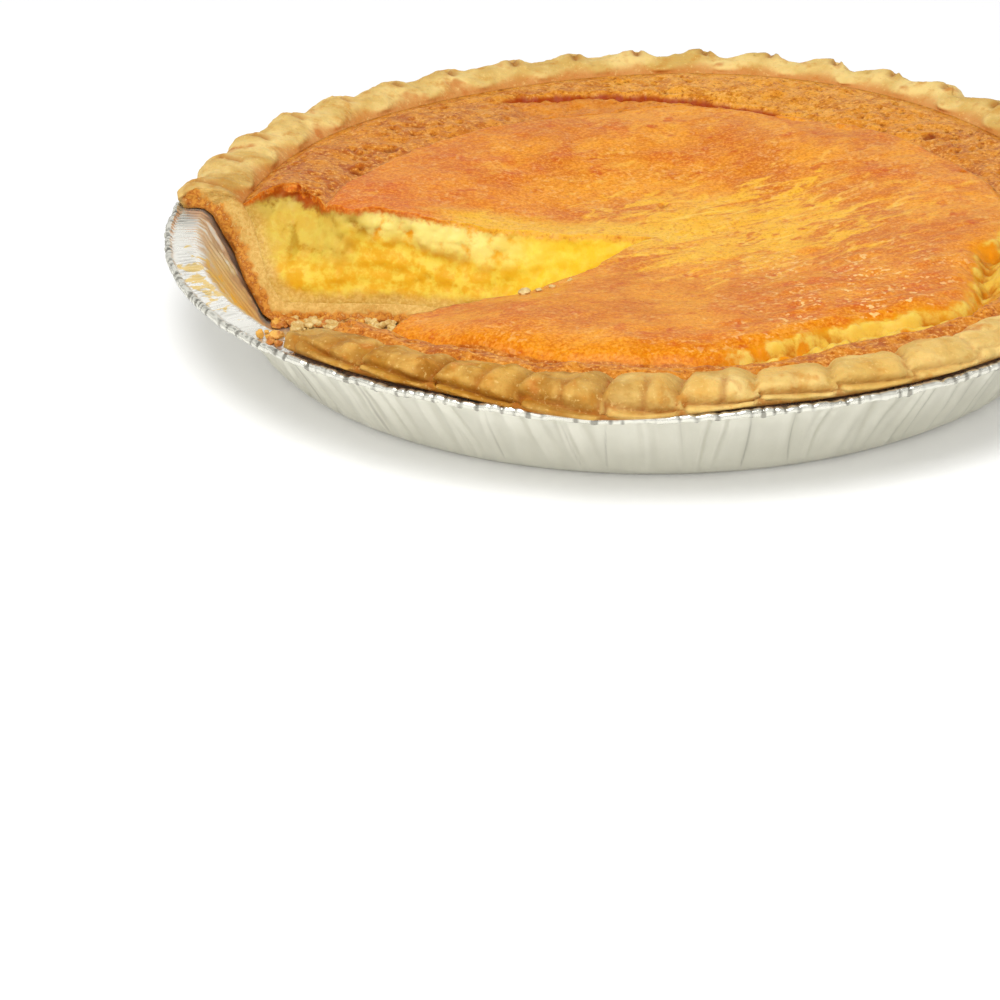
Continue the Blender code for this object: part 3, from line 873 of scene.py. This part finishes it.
def face_lumps(reach, height):
    """The curds of a cut face, from about -1 to 1, and how crumbly the custard is there."""
    spots = grid(reach, height, 9.0)
    below = mix(21.0, 27.5, smooth(reach, 34.0, 80.0)) - height
    lumps = curds(spots, 4.4, 1.0) - 0.5 + 0.6 * (curds(spots, 2.1, 2.0) - 0.5)
    crumbly = smooth(below + 2.0 * noise(spots, 8.0, 43.0), 9.0, 3.0) * smooth(reach, 20.0, 44.0)
    outer = smooth(reach, 72.0, 80.0) * smooth(below, 16.0, 10.0) * smooth(reach, 104.0, 98.0)
    return lumps, np.maximum(crumbly, 0.7 * outer), below, spots


def custard_relief(reach, height):
    """Broken custard: curds that stand out under the skin, smeared and pitted further down."""
    lumps, crumbly, below, spots = face_lumps(reach, height)
    smear = noise(spots * [0.3, 1.0, 1.0], 2.6, 41.0)
    holes = np.clip(0.3 - cells(spots, 5.5, 4.0), 0.0, 1.0) / 0.3
    inner = hump(reach, 56.0, 30.0)
    ledge = below + 1.6 * noise(spots, 6.0, 44.0)
    shelf = smooth(ledge, 7.5, 3.5) * inner
    recess = 0.6 * hump(ledge, 8.6, 3.4) * inner
    own = 0.4 * smear + 0.9 * holes * (1.0 - crumbly) - shelf + recess - 1.5 * crumbly * lumps
    border = smooth(shell_radius(height) - reach, 3.0, 0.2)
    border = np.maximum(border, smooth(height, FILLING_FLOOR + 2.5, FILLING_FLOOR))
    own = mix(own, 0.12, border)
    return (cut_wave(reach, height) + own) * smooth(reach, 2.0, 14.0)


def build_filling(material):
    join = JOIN_RADIUS - 0.05
    rings = np.linspace(0.0, 70.0, DOME_RINGS, endpoint=False)
    rings = np.r_[rings, np.linspace(70.0, join, BAND_RINGS)]
    top = np.stack([rings, np.full(len(rings), 25.0)], axis=1)
    half = 0.5 * (FILLING_FLOOR + JOIN_HEIGHT)
    floor = FILLING_FLOOR - 0.7
    wall = [(92.6, floor), (95.0, floor + 1.1), (100.2, half), (join, JOIN_HEIGHT - 0.2)]
    turn_in = np.searchsorted(rings, 88.0)
    flat_foot = rings[:turn_in] * 92.6 / rings[turn_in]
    foot = np.vstack([
        np.stack([flat_foot, np.full(turn_in, floor)], axis=1),
        along(wall, len(rings) - turn_in - 1),
    ])
    kept_top = [*range(0, DOME_RINGS, 2), *range(DOME_RINGS, len(rings))]
    at_bend = range(turn_in, turn_in + 9, 2)
    up_wall = range(turn_in, len(rings), 9)
    kept_foot = sorted({*range(0, turn_in, 30), *at_bend, *up_wall, len(rings) - 1})

    def shape_foot(radius, angle, height):
        r, z = filling_foot(radius, angle, height)
        r_end, z_end = filling_top(rings[-1:, None], angle[-1:], None)
        meet = smooth(radius, join - 4.0, join)
        return mix(r, r_end, meet), mix(z, z_end, meet)

    points, labels, faces = slab(
        top, foot, kept_top, kept_foot, FILLING_COLUMNS, FACE_ROWS, filling_top, shape_foot,
        custard_relief,
    )
    share, row, angle = labels.T
    values = custard_values(points, share, rings[row.astype(int)], angle)
    return to_object("lemon_custard", points, faces, values, material)


def custard_values(points, share, ring, angle):
    """Where each colour of the custard lies, as one number from 0 to 1 for each point."""
    height = points[:, 2]
    flat = points * [1.0, 1.0, 0.0]
    radius = np.linalg.norm(flat, axis=1)
    on_top = share == 0.0
    far_reach, far_gap = beside_cut(points, True)
    near_reach, near_gap = beside_cut(points, False)
    on_far = (share > 0.0) & (angle > 400.0)
    reach = np.where(on_far, far_reach, near_reach)
    bite = on_far * hump(reach, BITE_REACH, 16.0)
    above = filling_top(ring, angle, None)[1]
    depth = np.clip(above - height, 0.0, 30.0) * (share > 0.0)
    lumps, crumbly, below, _ = face_lumps(reach, height)
    lumps = np.where(on_top, broken_lumps(flat), lumps)

    broken = broken_share(angle)
    cliff = broken * smooth(ring + 1.6 * noise(flat, 8.0, 52.0), DOME_EDGE - 4.5, DOME_EDGE + 0.5)
    cliff = cliff * smooth(ring + 1.2 * noise(flat, 6.0, 53.0), DOME_EDGE + 10.5, DOME_EDGE + 8.5)
    front = facing_eater(angle, 0.1, 0.6)
    glow = front * hump(ring, DOME_EDGE - 2.0, 6.0) * on_top
    glow = np.maximum(glow, broken * hump(ring, DOME_EDGE - 4.0, 5.5) * on_top)

    line = crack_line(radius, angle, flat)
    at_back = cracked(angle)

    gold = peak(flat[:, 0] - 20.0, 48.0) * peak(flat[:, 1] - 3.0, 36.0)
    thin = smooth(far_gap, -5.0, 0.0) * smooth(far_gap, 19.0, 3.0)
    thin = thin * smooth(far_reach, 72.0, 40.0) * smooth(far_reach, -20.0, 0.0)
    thin_near = smooth(near_gap, -5.0, 0.0) * smooth(near_gap, 9.0, 1.0)
    thin_near = thin_near * smooth(near_reach, 34.0, 8.0) * smooth(near_reach, -10.0, 0.0)
    thin = np.maximum(thin, 0.7 * thin_near)
    to_wall = shell_radius(height) - radius
    dough = smooth(to_wall, 6.5, 0.0) + smooth(height, FILLING_FLOOR + 5.0, FILLING_FLOOR)
    torn = 2.8 * cliff * on_top * smooth(noise(flat, 6.0, 51.0), -0.7, -0.1)
    # Painted shade: the hollow under the ledge of curds is given a darker amber.
    hollow = hump(below, 9.0, 4.0) * (share > 0.0) * hump(reach, 52.0, 34.0)
    return {
        "depth": np.maximum(depth - 1.8 * bite, 0.0) + torn,
        "band": smooth(ring, DOME_EDGE - 0.3, DOME_EDGE + 1.4) * on_top,
        "crack": at_back * peak(line, 1.0) * on_top,
        "strip": at_back * smooth(line, 0.4, -0.8),
        "pit": pits(flat) * on_top,
        "mark": blemish(flat) * on_top,
        "glow": glow,
        "gold": gold * on_top,
        "thin": thin,
        # Paler on standing curds, darker amber between them and in the hollow: partly the curds' own
        # colour, partly painted shade.
        "curd": np.clip(0.5 + 0.8 * lumps - 0.5 * hollow, 0.0, 1.0),
        # How strongly the dark rim shows: most on the bitten edge, where it is painted shade.
        "bitten": np.maximum(bite, 0.25 * (reach > 60.0) * (share > 0.0)),
        "crumbly": np.maximum(crumbly, cliff),
        "dough": np.clip(dough, 0.0, 1.0) * (share > 0.0),
        "outer": smooth(reach, 68.0, 76.0) * (share > 0.0),
        "cliff": cliff,
        "tanned": around(angle, 76.0, 70.0),
        "salmon": around(angle, 186.0, 70.0) * smooth(radius, 6.0, 30.0),
        "wrinkled": wrinkles(flat[:, 0], angle),
        "scoop": on_far * smooth(reach, 48.0, 22.0),
    }


# --- Crumbs ----------------------------------------------------------------------------------

FOOT_CRUMBS = 90
LIP_CRUMBS = 20
LOOSE_CRUMBS = 12
CURD_CRUMBS = 130
LIP_CRUMB_HEIGHT = 25.1
# Angle, radius, height and size of the curds on top beside the near cut.
EDGE_CURDS = (
    (231.9, 50.3, 21.4, 1.6),
    (233.5, 46.6, 21.3, 0.7),
    (235.1, 42.8, 21.2, 0.9),
    (238.1, 38.3, 21.0, 1.2),
)


def crumb_heap(name, spots, sizes, material, seed):
    """Small broken lumps at the given spots, joined into one piece."""
    ball = bmesh.new()
    bmesh.ops.create_icosphere(ball, subdivisions=3, radius=1.0)
    unit = np.array([v.co[:] for v in ball.verts])
    corners = np.array([[v.index for v in f.verts] for f in ball.faces])
    ball.free()
    draw = np.random.default_rng(seed)
    points, faces = [], []
    for k, (spot, size) in enumerate(zip(spots, sizes)):
        spots_on = unit + 9.0 * k
        rough = 1.0 + 0.3 * noise(spots_on, 0.9, seed) + 0.16 * noise(spots_on, 0.4, seed)
        squash = draw.uniform(0.6, 1.2, 3) * [1.0, 1.0, 0.65]
        turned = Matrix.Rotation(draw.uniform(0.0, 6.28), 3, "Z")
        lump = (unit * rough[:, None] * squash * size) @ np.array(turned)
        lump[:, 2] += spot[2] - lump[:, 2].min()
        lump[:, :2] += spot[:2]
        points.append(lump)
        faces.append(corners + k * len(unit))
    return to_object(name, np.vstack(points), np.vstack(faces).tolist(), {}, material)


def beside_face(draw, count, reach, gap):
    """Spots on the tin's floor in front of the far cut, gap millimetres into the missing wedge."""
    along_cut, inward = cut_axes(True)
    far = draw.uniform(*reach, count)
    away = draw.uniform(*gap, count)
    foot = np.array([far_setback(r, 4.0) for r in far])
    flat = APEX + far[:, None] * along_cut + (foot - away)[:, None] * inward
    flat *= np.minimum(1.0, (BASE_RADIUS - 3.0) / np.linalg.norm(flat, axis=1))[:, None]
    return np.column_stack([flat, np.full(count, FOIL)])


def build_crumbs():
    """Crumbs in the gap: at the foot of the far cut, and by the near end of the crust."""
    draw = np.random.default_rng(23)
    foot = beside_face(draw, FOOT_CRUMBS, (70.0, 97.0), (0.3, 5.0))
    angle = np.radians(draw.uniform(219.0, 224.2, LIP_CRUMBS))
    radius = draw.uniform(113.8, 118.8, LIP_CRUMBS)
    corner = grid(radius * np.cos(angle), radius * np.sin(angle), LIP_CRUMB_HEIGHT)
    loose = beside_face(draw, LOOSE_CRUMBS, (60.0, 92.0), (5.0, 16.0))
    sizes = np.r_[
        0.35 + 1.2 * draw.uniform(0.0, 1.0, FOOT_CRUMBS) ** 2,
        draw.uniform(0.5, 1.5, LIP_CRUMBS),
        draw.uniform(0.25, 0.6, LOOSE_CRUMBS),
    ]
    spots = np.vstack([foot, corner, loose])
    crumb_heap("pastry_crumbs", spots, sizes, crumb_paint(), 3)

    pale = beside_face(draw, CURD_CRUMBS, (64.0, 91.0), (0.5, 8.0))
    angle, radius, height, edge_sizes = np.array(EDGE_CURDS).T
    angle = np.radians(angle)
    edge = grid(radius * np.cos(angle), radius * np.sin(angle), height)
    sizes = np.r_[0.3 + 1.3 * draw.uniform(0.0, 1.0, CURD_CRUMBS) ** 2, edge_sizes]
    crumb_heap("custard_crumbs", np.vstack([pale, edge]), sizes, curd_paint(), 4)


# --- Materials -------------------------------------------------------------------------------


def tint(red, green, blue):
    """A colour as a picture shows it, from 0 to 255, in linear light."""
    parts = np.array([red, green, blue]) / 255.0
    linear = np.where(parts > 0.04045, ((parts + 0.055) / 1.055) ** 2.4, parts / 12.92)
    return (*linear.tolist(), 1.0)


class Paint:
    """One material, with short calls for its nodes.

    A share is a socket, a number or the name of a mesh attribute. A colour is a socket, or red,
    green and blue for tint().
    """

    def __init__(self, name):
        self.material = bpy.data.materials.new(name)
        self.material.use_nodes = True
        self.tree = self.material.node_tree
        self.shader = self.tree.nodes["Principled BSDF"]
        self.place = self.add("ShaderNodeTexCoord").outputs["Object"]

    def add(self, kind, **settings):
        node = self.tree.nodes.new(kind)
        for key, value in settings.items():
            setattr(node, key, value)
        return node

    def link(self, value, socket):
        if isinstance(value, str):
            value = self.add("ShaderNodeAttribute", attribute_name=value).outputs["Fac"]
        if isinstance(value, bpy.types.NodeSocket):
            self.tree.links.new(value, socket)
        else:
            socket.default_value = value

    def stretched(self, scale, turn):
        """The place, drawn out by those factors along axes that are turned by that angle."""
        node = self.add("ShaderNodeMapping", vector_type="TEXTURE")
        node.inputs["Scale"].default_value = scale
        node.inputs["Rotation"].default_value = (0.0, 0.0, math.radians(turn))
        self.link(self.place, node.inputs["Vector"])
        return node.outputs["Vector"]

    def noise(self, size, detail=3.0, rough=0.55, where=None, bend=0.0):
        """Noise from 0 to 1 with features of that size in millimetres."""
        node = self.add("ShaderNodeTexNoise")
        self.link(where or self.place, node.inputs["Vector"])
        node.inputs["Scale"].default_value = 1.0 / (size * MM)
        node.inputs["Detail"].default_value = detail
        node.inputs["Roughness"].default_value = rough
        node.inputs["Distortion"].default_value = bend
        return node.outputs["Fac"]

    def math(self, kind, first, second):
        node = self.add("ShaderNodeMath", operation=kind)
        self.link(first, node.inputs[0])
        self.link(second, node.inputs[1])
        return node.outputs[0]

    def times(self, first, second):
        return self.math("MULTIPLY", first, second)

    def plus(self, first, second):
        return self.math("ADD", first, second)

    def scale(self, value, low, high, **settings):
        """Map 0 to 1 onto low to high."""
        node = self.add("ShaderNodeMapRange", **settings)
        self.link(value, node.inputs["Value"])
        node.inputs["To Min"].default_value = low
        node.inputs["To Max"].default_value = high
        return node.outputs["Result"]

    def step(self, value, start, end):
        """0 at start and 1 at end, smooth and clamped."""
        result = self.scale(value, 0.0, 1.0, interpolation_type="SMOOTHSTEP")
        result.node.inputs["From Min"].default_value = start
        result.node.inputs["From Max"].default_value = end
        return result

    def ragged(self, value, noise, reach):
        """The value with noise on it, by up to reach."""
        return self.plus(value, self.scale(noise, -reach, reach))

    def blend(self, share, first, second):
        node = self.add("ShaderNodeMix", data_type="RGBA")
        self.link(share, node.inputs[0])
        for colour, socket in ((first, node.inputs[6]), (second, node.inputs[7])):
            self.link(tint(*colour) if isinstance(colour, tuple) else colour, socket)
        return node.outputs[2]

    def layers(self, colour, *layers):
        """Lay colours over one another, each with its share and weight."""
        for share, layer, weight in layers:
            colour = self.blend(self.times(share, weight), colour, layer)
        return colour

    def bump(self, height, depth, strength, under=None):
        """Relief of that depth in millimetres where height goes from 0 to 1."""
        node = self.add("ShaderNodeBump")
        node.inputs["Distance"].default_value = depth * MM
        node.inputs["Strength"].default_value = strength
        self.link(height, node.inputs["Height"])
        if under:
            self.link(under, node.inputs["Normal"])
        return node.outputs["Normal"]

    def finish(self, **sockets):
        for name, value in sockets.items():
            self.link(value, self.shader.inputs[name.replace("_", " ")])
        return self.material


def foil_paint():
    """Satin foil: painted sheen on the gap's flange, painted shade in its folds, gold in the gap."""
    paint = Paint("crimped_foil")
    smudge = paint.noise(9.0, 4.0, 0.6)
    # Painted sheen: the flange in the gap is whiter and less metallic, for the bright light it
    # reflects.
    flange = paint.times("lip", "in_gap_inside")
    gold_patch = paint.step(paint.noise(12.0, 3.0), 0.32, 0.6)
    spots = paint.plus(paint.times("in_gap_inside", 0.5), paint.noise(4.2, 3.0, 0.6, bend=0.6))
    metal = paint.layers(
        paint.blend(smudge, (222, 220, 206), (240, 238, 226)),
        (flange, (250, 248, 240), 1.0),
        (paint.times("tan", gold_patch), (232, 190, 104), 0.8),
        (paint.step(spots, 0.96, 1.03), (244, 206, 106), 0.85),
        # Painted shade and dark reflections in the pleats, crimps and crinkles, stronger on the lip.
        (paint.step("fold", 0.08, 0.8), (112, 108, 96), paint.scale("lip", 0.35, 0.7)),
    )
    rough = paint.plus(paint.scale(smudge, 0.3, 0.48), paint.times("lip", -0.12))
    normal = paint.bump(paint.noise(3.0, 2.0), 0.15, 0.5)
    normal = paint.bump(paint.noise(0.7, 2.0, 0.6), 0.02, 0.5, normal)
    shine = paint.scale(flange, 0.85, 0.5)
    return paint.finish(Base_Color=metal, Metallic=shine, Roughness=rough, Normal=normal)


def pastry_paint():
    """Tan dough, browner at the front and below, painted shade in the creases and below, painted lobe
    highlights, a crumb inside.
    """
    paint = Paint("baked_pastry")
    broad = paint.step(paint.noise(16.0, 3.0, 0.6), 0.38, 0.64)
    patch = paint.noise(5.0, 3.0, 0.6)
    fine = paint.noise(1.1, 3.0, 0.65)
    light = paint.blend(broad, (208, 168, 88), (236, 204, 128))
    brown = paint.blend(broad, (162, 106, 26), (182, 128, 38))
    colour = paint.layers(
        paint.blend(paint.step(paint.ragged("baked", patch, 0.5), 0.0, 1.0), light, brown),
        (paint.step(patch, 0.52, 0.72), (200, 132, 44), 0.6),
        (paint.step(paint.noise(8.0, 2.0), 0.6, 0.74), (190, 104, 28), 0.7),
        # Painted highlight on the tops of the rope's lobes, in patches.
        (paint.times("swell", paint.step(paint.noise(7.0, 3.0, 0.6), 0.4, 0.62)), (228, 180, 92), 0.55),
        # Painted shade in the creases and low places.
        ("fold", (158, 88, 20), 0.75),
        # Darker under the rim and over the lip: partly browning, partly painted shade.
        ("under", (176, 104, 26), 0.8),
        ("junction", (196, 112, 42), 0.7),
    )
    shell = paint.ragged("shell", paint.noise(2.2, 4.0, 0.6), 0.45)
    crumb = paint.blend(paint.step(fine, 0.32, 0.68), (206, 158, 76), (230, 192, 112))
    dry = paint.blend(paint.step(fine, 0.4, 0.6), (176, 98, 26), (214, 146, 56))
    crumb = paint.layers(
        crumb,
        (paint.step(shell, 0.38, 0.6), dry, 1.0),
        (paint.step(shell, 0.84, 1.0), (132, 66, 16), 1.0),
    )
    colour = paint.layers(
        colour,
        ("cut", crumb, 1.0),
        (paint.step(fine, 0.62, 0.74), (176, 98, 30), 0.35),
        (paint.step(fine, 0.42, 0.32), (240, 206, 128), 0.4),
    )
    normal = paint.bump(paint.noise(0.9, 4.0, 0.7), 0.3, 0.7)
    normal = paint.bump(paint.noise(3.4, 3.0, 0.6), 0.7, 0.9, normal)
    rough = paint.scale(patch, 0.42, 0.68)
    paint.finish(Specular_IOR_Level=0.14, Subsurface_Weight=0.06, Subsurface_Scale=0.002)
    return paint.finish(Base_Color=colour, Roughness=rough, Normal=normal)


def crumb_paint():
    paint = Paint("pastry_crumb")
    fine = paint.noise(1.0, 3.0, 0.65)
    colour = paint.blend(paint.step(paint.noise(4.0), 0.42, 0.58), (190, 112, 34), (228, 170, 70))
    colour = paint.layers(colour, (paint.step(fine, 0.5, 0.7), (248, 206, 116), 0.5))
    normal = paint.bump(paint.noise(0.7, 3.0, 0.7), 0.2, 0.8)
    return paint.finish(Base_Color=colour, Roughness=paint.scale(fine, 0.45, 0.75), Normal=normal)


def curd_paint():
    paint = Paint("custard_crumb")
    fine = paint.noise(1.2, 3.0, 0.65)
    colour = paint.blend(paint.step(fine, 0.4, 0.65), (206, 168, 96), (230, 206, 142))
    normal = paint.bump(paint.noise(0.8, 3.0, 0.7), 0.15, 0.7)
    return paint.finish(Base_Color=colour, Roughness=paint.scale(fine, 0.3, 0.6), Normal=normal)


def skin_colour(paint):
    """The dome's skin: orange, with gold patches, redder blotches, streaks and painted glints as pale
    dots.
    """
    streak = paint.noise(6.0, 4.0, 0.62, where=paint.stretched((2.2, 0.75, 1.0), 28.0), bend=0.8)
    redder = paint.step(paint.noise(11.0, 4.0, 0.6, bend=0.5), 0.52, 0.7)
    blotch = paint.times("wrinkled", paint.step(paint.noise(6.0, 4.0, 0.6), 0.46, 0.64))
    grain = paint.noise(0.8, 2.0, 0.6)
    flecks = paint.times(paint.step(paint.noise(4.4, 3.0), 0.55, 0.68), paint.step(streak, 0.42, 0.6))
    flashes = paint.noise(3.4, 4.0, 0.6, where=paint.stretched((2.6, 0.8, 1.0), 30.0), bend=1.0)
    flashes = paint.times(paint.step(flashes, 0.54, 0.7), paint.scale("gold", 0.2, 1.0))
    # Painted glints: clusters of small pale dots that stand in for highlights on the glossy skin.
    cluster = paint.step(paint.noise(9.0, 3.0, 0.6), 0.44, 0.56)
    cluster = paint.times(cluster, paint.scale("wrinkled", 0.3, 1.0))
    glint_specks = paint.times(paint.step(paint.noise(1.4, 1.0), 0.57, 0.66), cluster)
    return paint.layers(
        paint.blend(paint.step(paint.noise(20.0, 3.0), 0.4, 0.6), (208, 116, 18), (232, 152, 36)),
        (paint.step(streak, 0.5, 0.68), (224, 138, 26), 0.6),
        (redder, (208, 92, 12), paint.scale("gold", 0.6, 0.2)),
        ("salmon", (214, 108, 34), paint.scale(streak, 0.9, 0.3)),
        (paint.step(paint.ragged("gold", streak, 1.3), 0.5, 0.9), (244, 188, 44), 0.9),
        (paint.step(paint.ragged("thin", streak, 0.35), 0.25, 1.0), (240, 190, 56), 0.9),
        ("glow", (226, 140, 4), 0.8),
        (blotch, (210, 92, 8), 0.7),
        (paint.step(grain, 0.5, 0.62), (244, 172, 72), 0.42),
        (paint.step(grain, 0.48, 0.38), (192, 80, 4), 0.38),
        (flecks, (194, 74, 0), 0.75),
        (flashes, (248, 208, 92), 0.8),
        (glint_specks, (250, 212, 142), 0.8),
    )


def band_colour(paint, fine):
    """The outer band: brown, curdled and pitted, with a darker crack."""
    mottle = paint.step(paint.noise(3.6, 4.0, 0.65), 0.36, 0.64)
    brown = paint.blend(mottle, (176, 92, 22), (210, 136, 46))
    golden = paint.blend(mottle, (200, 124, 28), (232, 164, 60))
    return paint.layers(
        paint.blend("tanned", brown, golden),
        (paint.step(paint.noise(16.0, 2.0), 0.45, 0.6), (226, 150, 46), 0.4),
        (paint.step(fine, 0.54, 0.66), (244, 188, 104), 0.7),
        (paint.step(fine, 0.45, 0.35), (144, 62, 10), 0.65),
        ("strip", (212, 116, 22), 0.4),
        (paint.step("pit", 0.15, 0.7), (116, 46, 8), 0.75),
        (paint.step("crack", 0.1, 0.6), (156, 48, 0), 0.9),
    )


def inner_colour(paint, fine):
    """The cut custard: yellow, with pale curds under the skin and beige dough at the crust."""
    yellow = paint.step(paint.noise(3.2, 4.0, 0.6), 0.4, 0.62)
    # Pale on standing curds, darker amber between them and in hollows: partly the curds' colour, partly
    # painted shade.
    curd = paint.step(paint.ragged("curd", fine, 0.25), 0.3, 0.75)
    white = paint.blend(curd, (236, 158, 20), (242, 226, 132))
    gold = paint.blend(curd, (150, 96, 14), (208, 182, 86))
    amber = paint.blend(curd, (192, 108, 4), (228, 186, 72))
    beige = paint.blend(paint.step(fine, 0.36, 0.66), (204, 156, 72), (224, 186, 102))
    dough = paint.ragged("dough", paint.noise(4.0, 4.0), 0.5)
    return paint.layers(
        paint.blend(yellow, (228, 172, 34), (234, 204, 74)),
        (paint.step(paint.noise(2.2, 3.0, 0.6), 0.6, 0.72), (222, 148, 18), 0.4),
        ("crumbly", paint.blend("cliff", paint.blend("outer", white, gold), amber), 0.9),
        ("scoop", (250, 212, 42), 0.6),
        (paint.step(dough, 0.15, 1.05), beige, 1.0),
    )


def custard_paint():
    """Browned skin on top, yellow custard at the cuts and a dark rim where they meet, with painted
    shade on the bitten edge.
    """
    paint = Paint("baked_custard")
    fine = paint.noise(0.9, 3.0, 0.65)
    outline = paint.ragged("band", paint.noise(3.0, 3.0), 0.3)
    cliff = paint.ragged("cliff", paint.noise(2.6, 3.0), 0.3)
    depth = paint.ragged("depth", paint.noise(1.8, 4.0, 0.6), 1.4)
    top = paint.blend(paint.step(outline, 0.35, 0.65), skin_colour(paint), band_colour(paint, fine))
    top = paint.layers(
        top,
        (paint.step("mark", 0.1, 0.8), (120, 40, 16), 0.7),
        (paint.step(cliff, 0.0, 0.4), (228, 146, 6), 0.9),
    )
    # The dark rim: partly the skin's browned edge, partly painted shade, most of it on the bitten edge.
    rim = paint.times(paint.step(depth, -0.3, 0.4), paint.step(depth, 2.8, 1.2))
    colour = paint.layers(
        top,
        (paint.step(depth, 0.5, 1.8), inner_colour(paint, fine), 1.0),
        (rim, (150, 54, 4), paint.scale("bitten", 0.1, 0.85)),
    )
    normal = paint.bump(paint.noise(0.6, 3.0, 0.7), 0.14, 0.6)
    normal = paint.bump(paint.noise(2.2, 3.0, 0.6), 0.3, 0.6, normal)
    rough = paint.scale(paint.noise(1.4, 3.0, 0.7), 0.16, 0.5)
    paint.finish(Specular_IOR_Level=0.1, Subsurface_Weight=0.3, Subsurface_Scale=0.003)
    paint.finish(Subsurface_Radius=(1.0, 0.6, 0.2))
    return paint.finish(Base_Color=colour, Roughness=rough, Normal=normal)


def floor_paint():
    paint = Paint("pale_floor")
    colour = paint.blend(paint.noise(400.0, 2.0), (247.0, 247.0, 247.0), (249.3, 249.3, 249.3))
    paint.finish(Emission_Color=(1.0, 1.0, 1.0, 1.0), Emission_Strength=0.06)
    return paint.finish(Base_Color=colour, Roughness=0.7, Specular_IOR_Level=0.1)


# --- Stage -----------------------------------------------------------------------------------

CAMERA_DISTANCE = 0.9103
CAMERA_ELEVATION = math.radians(22.22)
CAMERA_YAW, CAMERA_PITCH, CAMERA_ROLL = (math.radians(a) for a in (-2.705, 25.15, -1.145))
CAMERA_LENS = 129.6
SENSOR = 36.0


def build_camera():
    lens = bpy.data.cameras.new("photo_camera")
    lens.lens, lens.sensor_width = CAMERA_LENS, SENSOR
    lens.clip_start, lens.clip_end = 0.01, 20.0
    camera = bpy.data.objects.new("photo_camera", lens)
    bpy.context.scene.collection.objects.link(camera)
    yaw, pitch, roll = CAMERA_YAW, CAMERA_PITCH, CAMERA_ROLL
    ahead = Vector((math.sin(yaw) * math.cos(pitch), math.cos(yaw) * math.cos(pitch), -math.sin(pitch)))
    level = Vector((math.cos(yaw), -math.sin(yaw), 0.0))
    above = level.cross(ahead)
    right = math.cos(roll) * level + math.sin(roll) * above
    up = math.cos(roll) * above - math.sin(roll) * level
    camera.matrix_world = Matrix((right, up, -ahead)).transposed().to_4x4()
    camera.location = (
        0.0,
        -CAMERA_DISTANCE * math.cos(CAMERA_ELEVATION),
        CAMERA_DISTANCE * math.sin(CAMERA_ELEVATION),
    )
    bpy.context.scene.camera = camera


def add_light(name, place, size, power):
    lamp = bpy.data.lights.new(name, "AREA")
    lamp.shape, lamp.size, lamp.energy = "DISK", size, power
    light = bpy.data.objects.new(name, lamp)
    bpy.context.scene.collection.objects.link(light)
    light.location = place
    light.rotation_euler = (-Vector(place)).to_track_quat("-Z", "Y").to_euler()


# Strength of the room's light by the upward part of its direction.
ROOM_LIGHT = ((0.0, 0.2), (0.3, 0.95), (0.55, 0.9), (0.8, 0.3))


def build_room():
    """Soft light from all round, brightest at middle height."""
    world = bpy.data.worlds.new("soft_room")
    world.use_nodes = True
    tree = world.node_tree
    direction = tree.nodes.new("ShaderNodeTexCoord").outputs["Generated"]
    parts = tree.nodes.new("ShaderNodeSeparateXYZ")
    ramp = tree.nodes.new("ShaderNodeValToRGB")
    stops = ramp.color_ramp.elements
    while len(stops) < len(ROOM_LIGHT):
        stops.new(0.5)
    for stop, (upward, light) in zip(stops, ROOM_LIGHT):
        stop.position = upward
        stop.color = (light, light, light, 1.0)
    tree.links.new(direction, parts.inputs[0])
    tree.links.new(parts.outputs["Z"], ramp.inputs["Fac"])
    tree.links.new(ramp.outputs["Color"], tree.nodes["Background"].inputs["Color"])
    bpy.context.scene.world = world


def build_stage():
    mesh = bpy.data.meshes.new("floor")
    rings = bmesh.new()
    bmesh.ops.create_circle(rings, cap_ends=True, segments=96, radius=4.0)
    rings.to_mesh(mesh)
    rings.free()
    mesh.materials.append(floor_paint())
    floor = bpy.data.objects.new("floor", mesh)
    bpy.context.scene.collection.objects.link(floor)
    build_room()
    add_light("key", (-0.15, -0.65, 1.3), 0.8, 14.0)
    add_light("fill", (-0.5, -1.1, 0.8), 1.2, 2.0)
    bpy.context.scene.view_settings.view_transform = "Standard"


build_stage()
build_camera()
foil, pastry, custard = foil_paint(), pastry_paint(), custard_paint()
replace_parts(build_tin(foil), "tin")
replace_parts(build_crust(pastry), "crust")
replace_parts(build_filling(custard), "filling")
build_crumbs()
